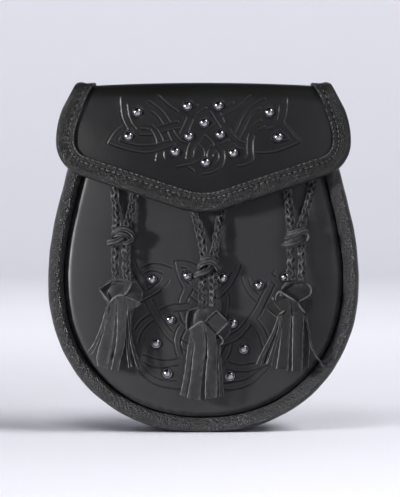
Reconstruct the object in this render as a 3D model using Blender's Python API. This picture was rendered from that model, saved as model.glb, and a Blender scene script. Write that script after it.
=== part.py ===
"""A leather day sporran: a hollow pouch with a rolled rim, a studded front and flap, and braided tassels.

Metres, +Z up. The front faces -Y. The origin is the middle of the flat stretch that the pouch stands on.
"""

import math

import bmesh
import bpy
from mathutils import Vector

# The pouch, seen from the front
BODY_HALF_WIDTH = 0.090
WIDEST_HEIGHT = 0.0875
BASE_POWER = 2.15
SETTLE = 0.0011
NECK_HALF_WIDTH = 0.073
NECK_HEIGHT = 0.193
MOUTH_HEIGHT = 0.178
BACK_DROP = 0.0105

# The pouch, seen from the side
DEPTH_AT_FOOT = 0.040
DEPTH_AT_MOUTH = 0.022
GAP = 0.0003
LEATHER = 0.0022
GUSSET_LEATHER = 0.0018
GUSSET_SAG = 0.0015
ROLL_WIDTH = 0.0090
ROLL_DEPTH = 0.0105
PANEL_SINK = 0.0044
PANEL_CROWN = 0.0040
PANEL_CLEARANCE = 0.0005
PANEL_EDGE_DROP = 0.0022
PANEL_EDGE_SHARE = 0.955

# The flap, which folds over the top and hangs down the front
FLAP_HALF_WIDTH = 0.0845
FLAP_TOP_HALF_WIDTH = 0.0732
FLAP_SIDE_RADIUS = 0.046
FLAP_CORNER_RADIUS = 0.020
FLAP_TIP_RADIUS = 0.046
FLAP_EDGE_SLOPE = math.radians(18.4)
FLAP_POINT_HEIGHT = 0.1246
FOLD_HEIGHT = 0.1970
FOLD_RADIUS = 0.0095
FOLD_CROWN = 0.0030
HEM_HEIGHT = 0.168
FLAP_STANDOFF = 0.0090
FLAP_SIDE_DROP = 0.0070
FLAP_DROP_POWER = 3.0
FLAP_DROP_RUN = 0.030

# The soft binding folded round the flap's edge
BINDING_LEATHER = 0.0012
BINDING_GAP = 0.0005
BINDING_FRONT_WIDTH = 0.0105
BINDING_BACK_WIDTH = 0.0080

# Domed studs. Columns of the flap's: the name, the place across in shares of half the flap's width, and the place
# down in shares of the fall from the fold to the flap's point
STUD_RADIUS = 0.0028
STUD_HEIGHT = 0.0022
STUD_SIDES = 10
FLAP_STUDS = (
    ("stud_flap_01", -0.452, 0.189),
    ("stud_flap_02", -0.510, 0.373),
    ("stud_flap_03", -0.111, 0.149),
    ("stud_flap_04", 0.102, 0.147),
    ("stud_flap_05", 0.447, 0.190),
    ("stud_flap_06", 0.508, 0.379),
    ("stud_flap_07", 0.004, 0.269),
    ("stud_flap_08", -0.100, 0.373),
    ("stud_flap_09", 0.113, 0.359),
    ("stud_flap_10", -0.193, 0.496),
    ("stud_flap_11", 0.201, 0.504),
    ("stud_flap_12", 0.013, 0.581),
)
# Columns of the front's: the name, the place across in shares of half the pouch's width, and the place up in
# shares of the height where the pouch is widest
FRONT_STUDS = (
    ("stud_front_01", -0.331, 1.002),
    ("stud_front_02", -0.103, 1.024),
    ("stud_front_03", 0.122, 1.010),
    ("stud_front_04", 0.356, 0.963),
    ("stud_front_05", 0.524, 1.015),
    ("stud_front_06", -0.211, 0.737),
    ("stud_front_07", 0.187, 0.713),
    ("stud_front_08", -0.303, 0.582),
    ("stud_front_09", 0.257, 0.546),
    ("stud_front_10", -0.232, 0.385),
    ("stud_front_11", 0.169, 0.367),
)

# The bar that the thongs come out of, above the flap's point, and the press stud, both hidden under the flap
BAR_RISE = 0.0289
BAR_WIDTH = 0.0084
BAR_THICKNESS = 0.0042
BAR_HALF_LENGTH = 0.0665
BAR_CLEARANCE = 0.0010
PRESS_STUD_RADIUS = 0.0045
PRESS_STUD_DROP = 0.0130

# The braided thongs. Columns: the place across in shares of half the pouch's width, how far down it is between
# the bar and the head of its tassel, and how far its centre stands off the panel in shares of its diameter
THONG_DIAMETER = 0.0052
THONG_STEP = 0.012
THONG_CLEARANCE = 0.0012
THONG_ROUTES = {
    "thong_left_a": (
        (-0.589, 0.000, 0.58),
        (-0.575, 0.141, 0.58),
        (-0.564, 0.267, 0.64),
        (-0.558, 0.388, 0.83),
        (-0.558, 0.506, 1.08),
        (-0.558, 0.593, 1.20),
        (-0.559, 0.680, 1.25),
        (-0.564, 0.830, 1.38),
        (-0.559, 1.000, 1.54),
    ),
    "thong_left_b": (
        (-0.439, 0.000, 0.58),
        (-0.444, 0.141, 0.58),
        (-0.454, 0.267, 0.64),
        (-0.470, 0.388, 0.83),
        (-0.491, 0.506, 1.08),
        (-0.494, 0.593, 1.20),
        (-0.494, 0.680, 1.25),
        (-0.492, 0.830, 1.38),
        (-0.490, 1.000, 1.54),
    ),
    "thong_centre_a": (
        (-0.107, 0.000, 0.58),
        (-0.096, 0.150, 0.58),
        (-0.058, 0.300, 0.62),
        (-0.016, 0.460, 0.88),
        (0.002, 0.600, 1.13),
        (0.003, 0.664, 1.21),
        (0.003, 0.730, 1.27),
        (-0.003, 0.860, 1.40),
        (-0.007, 1.000, 1.54),
    ),
    "thong_centre_b": (
        (0.160, 0.000, 0.58),
        (0.140, 0.150, 0.58),
        (0.112, 0.300, 0.62),
        (0.088, 0.460, 0.88),
        (0.068, 0.600, 1.13),
        (0.067, 0.664, 1.21),
        (0.066, 0.730, 1.27),
        (0.062, 0.860, 1.40),
        (0.060, 1.000, 1.54),
    ),
    "thong_right_a": (
        (0.524, 0.000, 0.58),
        (0.533, 0.141, 0.58),
        (0.544, 0.267, 0.64),
        (0.554, 0.388, 0.83),
        (0.557, 0.506, 1.08),
        (0.557, 0.593, 1.20),
        (0.557, 0.680, 1.25),
        (0.562, 0.830, 1.38),
        (0.562, 1.000, 1.54),
    ),
    "thong_right_b": (
        (0.711, 0.000, 0.58),
        (0.696, 0.141, 0.58),
        (0.673, 0.267, 0.64),
        (0.647, 0.388, 0.83),
        (0.623, 0.506, 1.08),
        (0.621, 0.593, 1.20),
        (0.622, 0.680, 1.25),
        (0.628, 0.830, 1.38),
        (0.628, 1.000, 1.54),
    ),
}

# The knots and the tassels: where each knot is down its thongs, where its head is across, the head's top and the
# head's height in shares of the tassel's length
KNOT_WALL = 0.0013
KNOT_CLEARANCE = 0.0009
KNOT_HEIGHT = 0.0105
KNOT_REACH = 0.08
HEAD_HALF_WIDTH = 0.0121
HEAD_HALF_DEPTH = 0.0066
SIDE_HEAD_TOP = 0.0864
CENTRE_HEAD_TOP = 0.0714
TASSEL_LENGTH = 0.0515
STRIP_LEATHER = 0.0013
STRIP_ROOT = 0.22
STRIP_ROOT_WIDTH = 0.8
STRIP_BEND = 1.3
TASSELS = {
    "left": {"knot": 0.593, "across": -0.524, "top": SIDE_HEAD_TOP, "head": 0.30},
    "centre": {"knot": 0.664, "across": 0.022, "top": CENTRE_HEAD_TOP, "head": 0.37},
    "right": {"knot": 0.593, "across": 0.580, "top": SIDE_HEAD_TOP, "head": 0.34},
}
# Section of a head from its top down. Columns: how far down it is, its half width and its half depth, in shares
HEAD_SECTIONS = (
    (0.00, 0.62, 0.74),
    (0.22, 0.98, 1.00),
    (0.60, 0.96, 1.00),
    (0.88, 0.74, 0.92),
    (1.08, 0.62, 0.82),
)
# The strips of each fringe. Columns: where the strip leaves the head and where it ends, and its width, in
# shares of the head's half width; its end's place down, in shares of the tassel's length; how far its root and
# its end stand off the panel, in shares of the thong's diameter
FRINGE = {
    "left": (
        (-0.62, -1.80, 0.33, 0.84, 1.50, 1.70),
        (-0.40, -0.92, 0.58, 0.95, 2.25, 1.75),
        (0.00, -0.34, 0.58, 0.98, 2.35, 1.80),
        (0.17, 0.12, 0.30, 0.88, 1.20, 0.80),
        (0.30, 0.55, 0.30, 0.94, 1.80, 1.30),
        (0.44, 0.86, 0.26, 0.94, 1.50, 1.10),
    ),
    "centre": (
        (-0.56, -1.26, 0.43, 0.96, 1.50, 1.10),
        (-0.36, -0.64, 0.66, 1.00, 2.25, 1.75),
        (0.19, 0.10, 0.60, 1.00, 2.30, 1.80),
        (0.44, 0.50, 0.28, 0.98, 1.90, 1.40),
        (0.56, 0.70, 0.22, 0.96, 1.50, 1.10),
    ),
    "right": (
        (-0.56, -1.60, 0.28, 0.90, 1.45, 1.20),
        (-0.48, -1.20, 0.30, 0.91, 1.85, 1.50),
        (-0.28, -0.52, 0.62, 0.97, 2.25, 1.75),
        (0.22, 0.17, 0.62, 0.99, 2.30, 1.80),
        (0.42, 0.64, 0.36, 0.94, 1.60, 1.10),
        (0.52, 1.40, 0.22, 0.94, 1.30, 1.60),
    ),
}

# Two plain loops for the belt on the back
LOOP_WIDTH = 0.028
LOOP_LENGTH = 0.058
LOOP_FOOT = 0.009
LOOP_RISE = 0.0058
LOOP_LEATHER = 0.0020
LOOP_SPACING = 0.074
LOOP_HEIGHT = 0.130
LOOP_SLANT = 0.8
LOOP_CORNER_RADIUS = 0.0024

# How finely the round shapes are divided
UPPER_STATIONS = 7
LOWER_STATIONS = 40
ROLL_SIDES = 10
PANEL_RINGS = (1.0, 0.978, 0.955, 0.86, 0.72, 0.48, 0.0)
FLAP_COLUMNS = 22
FLAP_LOWER_ROWS = 6
FOLD_STEPS = 40
FOLD_ROWS = 16
LOWER_EDGE_STEPS = 8
HEM_ROWS = 3
SIDE_ROWS = 7
CORNER_STEPS = 8
THONG_BEVEL_RESOLUTION = 2
KNOT_STEPS = 16
KNOT_SIDES = 6
HEAD_SIDES = 12
BAR_STEPS = 20
LOOP_CORNER_STEPS = 3
PRESS_STUD_SIDES = 16
STUD_RINGS = (0.0, 0.34, 0.68)
STRIP_STATIONS = (0.0, 0.2, 0.55, 1.0)

BACK_FACE = DEPTH_AT_FOOT / 2
BACK_HEIGHT = FOLD_HEIGHT - BACK_DROP
BAR_HEIGHT = FLAP_POINT_HEIGHT + BAR_RISE
BACK_INNER_FACE = BACK_FACE - LEATHER
BINDING_REACH = BINDING_GAP + BINDING_LEATHER

COLOURS = {
    "panel_leather": ((0.020, 0.021, 0.023), 0.42, 0.0),
    "soft_leather": ((0.017, 0.018, 0.019), 0.55, 0.0),
    "thong_leather": ((0.014, 0.014, 0.015), 0.60, 0.0),
    "chrome_stud": ((0.80, 0.80, 0.82), 0.12, 1.0),
    "press_stud_metal": ((0.30, 0.30, 0.31), 0.35, 1.0),
}


def clear_scene():
    for obj in list(bpy.data.objects):
        bpy.data.objects.remove(obj)


def material(name):
    if name in bpy.data.materials:
        return bpy.data.materials[name]
    colour, roughness, metallic = COLOURS[name]
    made = bpy.data.materials.new(name)
    made.use_nodes = True
    shader = made.node_tree.nodes["Principled BSDF"]
    shader.inputs["Base Color"].default_value = (*colour, 1.0)
    shader.inputs["Roughness"].default_value = roughness
    shader.inputs["Metallic"].default_value = metallic
    return made


def add_object(name, bm, finish):
    """Links a bmesh as a named object with its material, smooth except at sharp corners."""
    bmesh.ops.recalc_face_normals(bm, faces=bm.faces)
    mesh = bpy.data.meshes.new(name)
    bm.to_mesh(mesh)
    bm.free()
    mesh.shade_smooth()
    mesh.set_sharp_from_angle(angle=math.radians(40))
    mesh.materials.append(material(finish))
    obj = bpy.data.objects.new(name, mesh)
    bpy.context.scene.collection.objects.link(obj)
    return obj


def bridge_rings(bm, rings, closed_section=True, capped=True):
    """Joins successive rings of points with faces; a closed section is a tube, whose ends can be capped."""
    rows = [[bm.verts.new(point) for point in ring] for ring in rings]
    for first, second in zip(rows, rows[1:]):
        count = len(first)
        for i in range(count if closed_section else count - 1):
            j = (i + 1) % count
            bm.faces.new((first[i], first[j], second[j], second[i]))
    if closed_section and capped:
        bm.faces.new(rows[0][::-1])
        bm.faces.new(rows[-1])
    return rows


def merge_doubles(bm):
    bmesh.ops.remove_doubles(bm, verts=bm.verts, dist=1e-6)
    bmesh.ops.dissolve_degenerate(bm, edges=bm.edges, dist=1e-7)


def solidify(obj, thickness, offset):
    wall = obj.modifiers.new("wall", "SOLIDIFY")
    wall.thickness = thickness
    wall.offset = offset
    wall.use_even_offset = True


def closed_sheet(bm, outer, inner):
    """Fills a bmesh with a leather wall between two grids of points that have the same rows and columns."""
    faces = []
    for grid in (outer, inner):
        rows = [[bm.verts.new(point) for point in column] for column in grid]
        faces.append(rows)
        for first, second in zip(rows, rows[1:]):
            for a, b, c, d in zip(first, first[1:], second[1:], second):
                bm.faces.new((a, b, c, d))
    borders = (lambda r: r[0], lambda r: r[-1], lambda r: [c[0] for c in r], lambda r: [c[-1] for c in r])
    for border in borders:
        front, back = border(faces[0]), border(faces[1])
        for a, b, c, d in zip(front, front[1:], back[1:], back):
            bm.faces.new((a, b, c, d))


def rounded_path(corners, radii, steps):
    """A polyline through the corners, each inner corner rounded by an arc of its radius."""
    points = [Vector(corners[0])]
    for before, corner, after, radius in zip(corners, corners[1:], corners[2:], radii):
        corner = Vector(corner)
        back = (Vector(before) - corner).normalized()
        on = (Vector(after) - corner).normalized()
        half = back.angle(on) / 2
        reach = radius / math.tan(half)
        centre = corner + (back + on).normalized() * radius / math.sin(half)
        start = corner + back * reach - centre
        turn = math.pi - 2 * half
        side = 1 if back.x * on.y - back.y * on.x < 0 else -1
        for i in range(steps + 1):
            angle = side * turn * i / steps
            c, s = math.cos(angle), math.sin(angle)
            points.append(centre + Vector((start.x * c - start.y * s, start.x * s + start.y * c)))
    points.append(Vector(corners[-1]))
    return points


class Walk:
    """A polyline that can be read by the length walked along it."""

    def __init__(self, points):
        self.points = points
        self.marks = [0.0]
        for a, b in zip(points, points[1:]):
            self.marks.append(self.marks[-1] + (b - a).length)
        self.length = self.marks[-1]

    def at(self, distance):
        for i, mark in enumerate(self.marks[1:]):
            if distance <= mark or i == len(self.marks) - 2:
                share = (distance - self.marks[i]) / (mark - self.marks[i])
                return self.points[i].lerp(self.points[i + 1], share)


def crest(z):
    """The depth (y) of the rim's front at a height: the pouch gets thinner towards its mouth."""
    depth = DEPTH_AT_FOOT + (DEPTH_AT_MOUTH - DEPTH_AT_FOOT) * z / MOUTH_HEIGHT
    return BACK_FACE - depth


def half_width(z):
    """Half the pouch's width above its widest place, where the sides sweep in to the neck."""
    share = min(1.0, (z - WIDEST_HEIGHT) / (NECK_HEIGHT - WIDEST_HEIGHT))
    sweep = (1 + math.cos(math.pi * share)) / 2
    return NECK_HALF_WIDTH + (BODY_HALF_WIDTH - NECK_HALF_WIDTH) * sweep


def body_curve(inset, top, share=1.0):
    """Points (x, z) of the pouch's outline from its left top round the base to its right top, drawn in."""
    across = BODY_HALF_WIDTH - inset
    down = WIDEST_HEIGHT + SETTLE - inset
    side = []
    for i in range(UPPER_STATIONS):
        z = top + (WIDEST_HEIGHT - top) * i / UPPER_STATIONS
        side.append((share * (half_width(z) - inset), z))
    base = []
    for i in range(LOWER_STATIONS + 1):
        angle = math.pi * i / LOWER_STATIONS
        c, s = math.cos(angle), math.sin(angle)
        x = -across * math.copysign(abs(c) ** (2 / BASE_POWER), c)
        z = WIDEST_HEIGHT - share * down * max(s, 0.0) ** (2 / BASE_POWER)
        base.append((share * x, z))
    return [(-x, z) for x, z in side] + base + side[::-1]


def outward(curve):
    """The outward unit normal (x, z) at each point of the outline."""
    normals = []
    for i in range(len(curve)):
        ax, az = curve[max(i - 1, 0)]
        bx, bz = curve[min(i + 1, len(curve) - 1)]
        along = Vector((bx - ax, bz - az)).normalized()
        normals.append(Vector((along.y, -along.x)))
    return normals


def panel_inset():
    return ROLL_WIDTH + PANEL_CLEARANCE


def panel_y(x, z):
    """The depth of the front panel's face, which is crowned like a shallow cushion inside the rim."""
    across = BODY_HALF_WIDTH - panel_inset()
    down = WIDEST_HEIGHT + SETTLE - panel_inset()
    if z >= WIDEST_HEIGHT:
        spread = abs(x) / (half_width(z) - panel_inset())
    else:
        spread = (
            abs(x / across) ** BASE_POWER
            + abs((z - WIDEST_HEIGHT) / down) ** BASE_POWER
        ) ** (1 / BASE_POWER)
    spread = min(spread, 1.0)
    turned = max(0.0, spread - PANEL_EDGE_SHARE) / (1 - PANEL_EDGE_SHARE)
    return crest(z) + PANEL_SINK - PANEL_CROWN * (1 - spread**4) + PANEL_EDGE_DROP * turned**2


def on_panel(x, z, standoff=0.0):
    return Vector((x, panel_y(x, z) - standoff, z))


def flap_walk():
    """The flap's middle line seen from the side: up the back, over the fold and down the front."""
    back = BACK_FACE + GAP + BINDING_REACH + LEATHER / 2
    tip = FLAP_POINT_HEIGHT
    corners = (
        (back, HEM_HEIGHT),
        (back, FOLD_HEIGHT),
        (crest(FOLD_HEIGHT) - FLAP_STANDOFF, FOLD_HEIGHT),
        (crest(tip) - FLAP_STANDOFF, tip),
    )
    return Walk(rounded_path(corners, (FOLD_RADIUS, FOLD_RADIUS), FOLD_STEPS))


FLAP_WALK = flap_walk()


def walk_at_height(z):
    """How far along the flap its front reaches a height."""
    top, tip = FLAP_WALK.points[-2], FLAP_WALK.points[-1]
    share = (top.y - z) / (top.y - tip.y)
    return FLAP_WALK.marks[-2] + share * (FLAP_WALK.length - FLAP_WALK.marks[-2])


def flap_middle(x, walked):
    """A point of the flap's middle surface; its sides fall back towards the pouch below the fold."""
    y, z = FLAP_WALK.at(walked)
    run = walked - FLAP_WALK.marks[-2] + FLAP_DROP_RUN / 2
    share = min(1.0, max(0.0, run / FLAP_DROP_RUN))
    settled = share * share * (3 - 2 * share)
    beside = min(1.0, abs(x) / FLAP_HALF_WIDTH)
    y += FLAP_SIDE_DROP * settled * beside**FLAP_DROP_POWER
    z += FOLD_CROWN * (1 - beside**2) * (1 - settled)
    return Vector((x, y, z))


def flap_point(x, walked, height=0.0):
    """A point at a height off the flap's middle surface, outwards."""
    step = 0.0010
    here = flap_middle(x, walked)
    across = flap_middle(x + step, walked) - flap_middle(x - step, walked)
    along = flap_middle(x, walked + step) - flap_middle(x, walked - step)
    normal = along.cross(across).normalized()
    return here + normal * height


def flap_side(z, inset):
    """Half the flap's width at a height above its lower corners."""
    turn = FLAP_POINT_HEIGHT + FLAP_HALF_WIDTH * math.tan(FLAP_EDGE_SLOPE)
    rise = max(0.0, z - turn - FLAP_CORNER_RADIUS * math.tan((math.pi / 2 - FLAP_EDGE_SLOPE) / 2))
    rise = min(rise, FLAP_SIDE_RADIUS)
    sweep = FLAP_SIDE_RADIUS - math.sqrt(FLAP_SIDE_RADIUS**2 - rise**2)
    return max(FLAP_HALF_WIDTH - sweep, FLAP_TOP_HALF_WIDTH) - inset


def flap_edge(inset):
    """Points (x, walked) of the flap's right edge from its back hem, up, over and down to its point."""
    fold, front = FLAP_WALK.marks[1], FLAP_WALK.marks[-2]
    points = []
    for i in range(HEM_ROWS):
        points.append(Vector((FLAP_TOP_HALF_WIDTH - inset, fold * i / HEM_ROWS)))
    for i in range(FOLD_ROWS):
        walked = fold + (front - fold) * i / FOLD_ROWS
        on_front = walked > (fold + front) / 2
        half = flap_side(FLAP_WALK.at(walked).y, inset) if on_front else FLAP_TOP_HALF_WIDTH - inset
        points.append(Vector((half, walked)))
    top = FLAP_WALK.points[-2].y
    widest = FLAP_HALF_WIDTH - inset
    lift = inset / math.cos(FLAP_EDGE_SLOPE)
    corner_height = FLAP_POINT_HEIGHT + lift + widest * math.tan(FLAP_EDGE_SLOPE)
    lower = rounded_path(
        ((widest, top), (widest, corner_height), (0.0, FLAP_POINT_HEIGHT + lift), (-widest, corner_height)),
        (FLAP_CORNER_RADIUS - inset, FLAP_TIP_RADIUS - inset),
        CORNER_STEPS,
    )
    arc_start = lower[1].y
    for i in range(SIDE_ROWS):
        z = top + (arc_start - top) * i / SIDE_ROWS
        points.append(Vector((flap_side(z, inset), walk_at_height(z))))
    corner, tip = lower[1 : CORNER_STEPS + 2], lower[CORNER_STEPS + 2 : -1]
    straight = [corner[-1].lerp(tip[0], i / LOWER_EDGE_STEPS) for i in range(1, LOWER_EDGE_STEPS)]
    for point in corner + straight + tip:
        if point.x > -1e-9:
            points.append(Vector((max(point.x, 0.0), walk_at_height(point.y))))
    return points


def lower_edge_at(x, inset):
    """How far along the flap its lower edge is at a place across its width."""
    edge = [p for p in flap_edge(inset) if p.y > FLAP_WALK.marks[-2]]
    for a, b in zip(edge, edge[1:]):
        if b.x <= abs(x) <= a.x and a.x > b.x:
            share = (a.x - abs(x)) / (a.x - b.x)
            return a.y + (b.y - a.y) * share
    return edge[-1].y


def make_back_panel():
    curve = body_curve(0.0, BACK_HEIGHT)
    bm = bmesh.new()
    front = [bm.verts.new((x, BACK_INNER_FACE, max(z, 0.0))) for x, z in curve]
    face = bm.faces.new(front)
    grown = bmesh.ops.extrude_face_region(bm, geom=[face])
    moved = [v for v in grown["geom"] if isinstance(v, bmesh.types.BMVert)]
    bmesh.ops.translate(bm, verts=moved, vec=(0, LEATHER, 0))
    return add_object("back_panel", bm, "panel_leather")


def make_front_panel():
    """The crowned front, built from nested copies of its outline that shrink to the middle line."""
    bm = bmesh.new()
    rings = []
    for share in PANEL_RINGS:
        curve = body_curve(panel_inset(), MOUTH_HEIGHT, share)
        rings.append([on_panel(x, z) for x, z in curve])
    bridge_rings(bm, rings, closed_section=False)
    merge_doubles(bm)
    obj = add_object("front_panel", bm, "panel_leather")
    front = sum(face.normal.y * face.area for face in obj.data.polygons)
    if front > 0:
        obj.data.flip_normals()
    solidify(obj, LEATHER, -1.0)
    return obj


def make_rim_roll():
    """The padded roll of soft leather round the front, flattened where the pouch stands on it."""
    curve = body_curve(ROLL_WIDTH / 2, MOUTH_HEIGHT)
    rings = []
    for (x, z), normal in zip(curve, outward(curve)):
        ring = []
        for i in range(ROLL_SIDES):
            angle = 2 * math.pi * i / ROLL_SIDES
            out = ROLL_WIDTH / 2 * math.cos(angle)
            place_z = max(z + normal.y * out, 0.0)
            y = crest(max(z, 0.0)) + ROLL_DEPTH / 2 * (1 - math.sin(angle))
            ring.append(Vector((x + normal.x * out, y, place_z)))
        rings.append(ring)
    bm = bmesh.new()
    bridge_rings(bm, rings)
    return add_object("rim_roll", bm, "soft_leather")


def make_gusset():
    """The soft side wall between the roll and the back, drawn in a little between its seams."""
    rings = []
    outer = body_curve(0.0, MOUTH_HEIGHT)
    for (x, z), normal in zip(outer, outward(outer)):
        foot = max(z, 0.0)
        front = crest(foot) + ROLL_DEPTH + GAP
        back = BACK_INNER_FACE - GAP
        sag = GUSSET_SAG * min(1.0, foot / WIDEST_HEIGHT)
        ring = []
        for inward, floor in ((0.0, 0.0), (GUSSET_LEATHER, GUSSET_LEATHER)):
            row = []
            for share, drawn in ((0.0, 0.0), (0.5, sag), (1.0, 0.0)):
                step = inward + drawn
                y = front + (back - front) * share
                row.append(Vector((x - normal.x * step, y, max(z - normal.y * step, floor))))
            ring += row if inward == 0.0 else row[::-1]
        rings.append(ring)
    bm = bmesh.new()
    bridge_rings(bm, rings)
    return add_object("gusset", bm, "soft_leather")


def make_flap():
    """The flap's sheet: columns run from the back hem over the fold to the lower edge."""
    edge = flap_edge(BINDING_REACH)
    widest = max(point.x for point in edge)
    corner = max(point.y for point in edge if point.x > widest - 1e-6)
    upper = [point for point in edge if point.y <= corner + 1e-9]
    columns = []
    for i in range(FLAP_COLUMNS + 1):
        share = math.sin(math.pi / 2 * (2 * i / FLAP_COLUMNS - 1))
        column = [(share * point.x, point.y) for point in upper]
        x = share * widest
        low = lower_edge_at(x, BINDING_REACH) if abs(share) < 1 - 1e-9 else corner
        for k in range(1, FLAP_LOWER_ROWS + 1):
            column.append((x, corner + (low - corner) * k / FLAP_LOWER_ROWS))
        columns.append(column)
    half = LEATHER / 2
    bm = bmesh.new()
    closed_sheet(
        bm,
        [[flap_point(x, walked, half) for x, walked in column] for column in columns],
        [[flap_point(x, walked, -half) for x, walked in column] for column in columns],
    )
    merge_doubles(bm)
    return add_object("flap", bm, "panel_leather")


def make_flap_binding():
    """A strip of soft leather folded round the flap's edge, swept along it as a U section."""
    right = flap_edge(BINDING_REACH)
    left = [Vector((-p.x, p.y)) for p in right if p.x > 1e-6]
    path = left + right[::-1]
    near, far = LEATHER / 2 + BINDING_GAP, LEATHER / 2 + BINDING_REACH
    section = (
        (BINDING_FRONT_WIDTH - BINDING_REACH, far),
        (-BINDING_GAP, far),
        (-BINDING_REACH, near),
        (-BINDING_REACH, -near),
        (-BINDING_GAP, -far),
        (BINDING_BACK_WIDTH - BINDING_REACH, -far),
        (BINDING_BACK_WIDTH - BINDING_REACH, -near),
        (-BINDING_GAP, -near),
        (-BINDING_GAP, near),
        (BINDING_FRONT_WIDTH - BINDING_REACH, near),
    )
    rings = []
    for i, point in enumerate(path):
        before, after = path[max(i - 1, 0)], path[min(i + 1, len(path) - 1)]
        along = (after - before).normalized()
        inward = Vector((along.y, -along.x))
        if point.y < FLAP_WALK.marks[-2]:
            inward = Vector((-math.copysign(1.0, point.x), 0.0))
        ring = []
        for depth, height in section:
            place = point + inward * depth
            ring.append(flap_point(place.x, place.y, height))
        rings.append(ring)
    bm = bmesh.new()
    bridge_rings(bm, rings)
    return add_object("flap_binding", bm, "soft_leather")


def make_stud(name, foot, outwards):
    """A low dome turned round its own axis, standing on the leather."""
    bm = bmesh.new()
    rings = []
    for share in STUD_RINGS:
        angle = share * math.pi / 2
        radius = STUD_RADIUS * math.cos(angle)
        height = STUD_HEIGHT * math.sin(angle)
        turns = [2 * math.pi * i / STUD_SIDES for i in range(STUD_SIDES)]
        rings.append([(radius * math.cos(turn), radius * math.sin(turn), height) for turn in turns])
    rows = bridge_rings(bm, rings, capped=False)
    bm.faces.new(rows[0][::-1])
    top = bm.verts.new((0, 0, STUD_HEIGHT))
    for i in range(STUD_SIDES):
        bm.faces.new((rows[-1][i], rows[-1][(i + 1) % STUD_SIDES], top))
    obj = add_object(name, bm, "chrome_stud")
    obj.rotation_mode = "QUATERNION"
    obj.rotation_quaternion = outwards.to_track_quat("Z", "Y")
    obj.location = foot
    return obj


def make_studs():
    for name, across, down in FLAP_STUDS:
        x = across * FLAP_HALF_WIDTH
        walked = walk_at_height(FOLD_HEIGHT + (FLAP_POINT_HEIGHT - FOLD_HEIGHT) * down)
        foot = flap_point(x, walked, LEATHER / 2 + GAP)
        make_stud(name, foot, foot - flap_point(x, walked))
    for name, across, up in FRONT_STUDS:
        x, z = across * BODY_HALF_WIDTH, up * WIDEST_HEIGHT
        step = 0.001
        sideways = on_panel(x + step, z) - on_panel(x - step, z)
        upwards = on_panel(x, z + step) - on_panel(x, z - step)
        normal = sideways.cross(upwards).normalized()
        make_stud(name, on_panel(x, z) + normal * GAP, normal)


def smooth_route(points, step):
    """Points every step along a Catmull-Rom curve through the route's own points."""
    ends = [2 * points[0] - points[1], *points, 2 * points[-1] - points[-2]]
    fine = []
    for a, b, c, d in zip(ends, ends[1:], ends[2:], ends[3:]):
        for i in range(8):
            t = i / 8
            fine.append(0.5 * (
                2 * b + (c - a) * t + (2 * a - 5 * b + 4 * c - d) * t**2 + (3 * b - a - 3 * c + d) * t**3
            ))
    fine.append(points[-1])
    walk = Walk(fine)
    count = max(2, round(walk.length / step))
    return [walk.at(walk.length * i / count) for i in range(count + 1)]


def tassel_of(name):
    return TASSELS[name.split("_")[1]]


def thong_route(name):
    start = BAR_HEIGHT - BAR_WIDTH / 2 - THONG_CLEARANCE
    end = tassel_of(name)["top"] + THONG_CLEARANCE
    return [
        on_panel(across * BODY_HALF_WIDTH, start + (end - start) * down, off * THONG_DIAMETER)
        for across, down, off in THONG_ROUTES[name]
    ]


def make_thong(name):
    curve = bpy.data.curves.new(name, "CURVE")
    curve.dimensions = "3D"
    curve.bevel_depth = THONG_DIAMETER / 2
    curve.bevel_resolution = THONG_BEVEL_RESOLUTION
    curve.use_fill_caps = True
    points = smooth_route(thong_route(name), THONG_STEP)
    spline = curve.splines.new("POLY")
    spline.points.add(len(points) - 1)
    for target, point in zip(spline.points, points):
        target.co = (*point, 1.0)
    curve.materials.append(material("thong_leather"))
    obj = bpy.data.objects.new(name, curve)
    bpy.context.scene.collection.objects.link(obj)
    return obj


def place_on_thong(name, down):
    """The point of a thong that is a share of the way down from the bar to the head."""
    points = smooth_route(thong_route(name), THONG_STEP / 8)
    z = points[0].z + (points[-1].z - points[0].z) * down
    return min(points, key=lambda point: abs(point.z - z))


def make_knot(side, tassel):
    """The overhand knot that ties the two thongs, as the ring that its turns make round them."""
    names = [f"thong_{side}_{which}" for which in "ab"]
    above, centre, below = (
        sum((place_on_thong(name, tassel["knot"] + step) for name in names), Vector()) / 2
        for step in (-KNOT_REACH, 0.0, KNOT_REACH)
    )
    along = (above - below).normalized()
    apart = place_on_thong(names[1], tassel["knot"]) - place_on_thong(names[0], tassel["knot"])
    around = THONG_DIAMETER / 2 + KNOT_CLEARANCE + KNOT_WALL
    bm = bmesh.new()
    rings = []
    for i in range(KNOT_STEPS):
        turn = 2 * math.pi * (i + 0.5) / KNOT_STEPS
        out = Vector((math.cos(turn), math.sin(turn), 0))
        middle = centre + out * around + Vector((math.copysign(apart.x / 2, out.x), 0, 0))
        ring = []
        for k in range(KNOT_SIDES):
            angle = 2 * math.pi * k / KNOT_SIDES
            wall = out * KNOT_WALL * math.cos(angle)
            ring.append(middle + wall + along * KNOT_HEIGHT / 2 * math.sin(angle))
        rings.append(ring)
    rings.append(rings[0])
    bridge_rings(bm, rings, capped=False)
    merge_doubles(bm)
    return add_object(f"knot_{side}", bm, "thong_leather")


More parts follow.
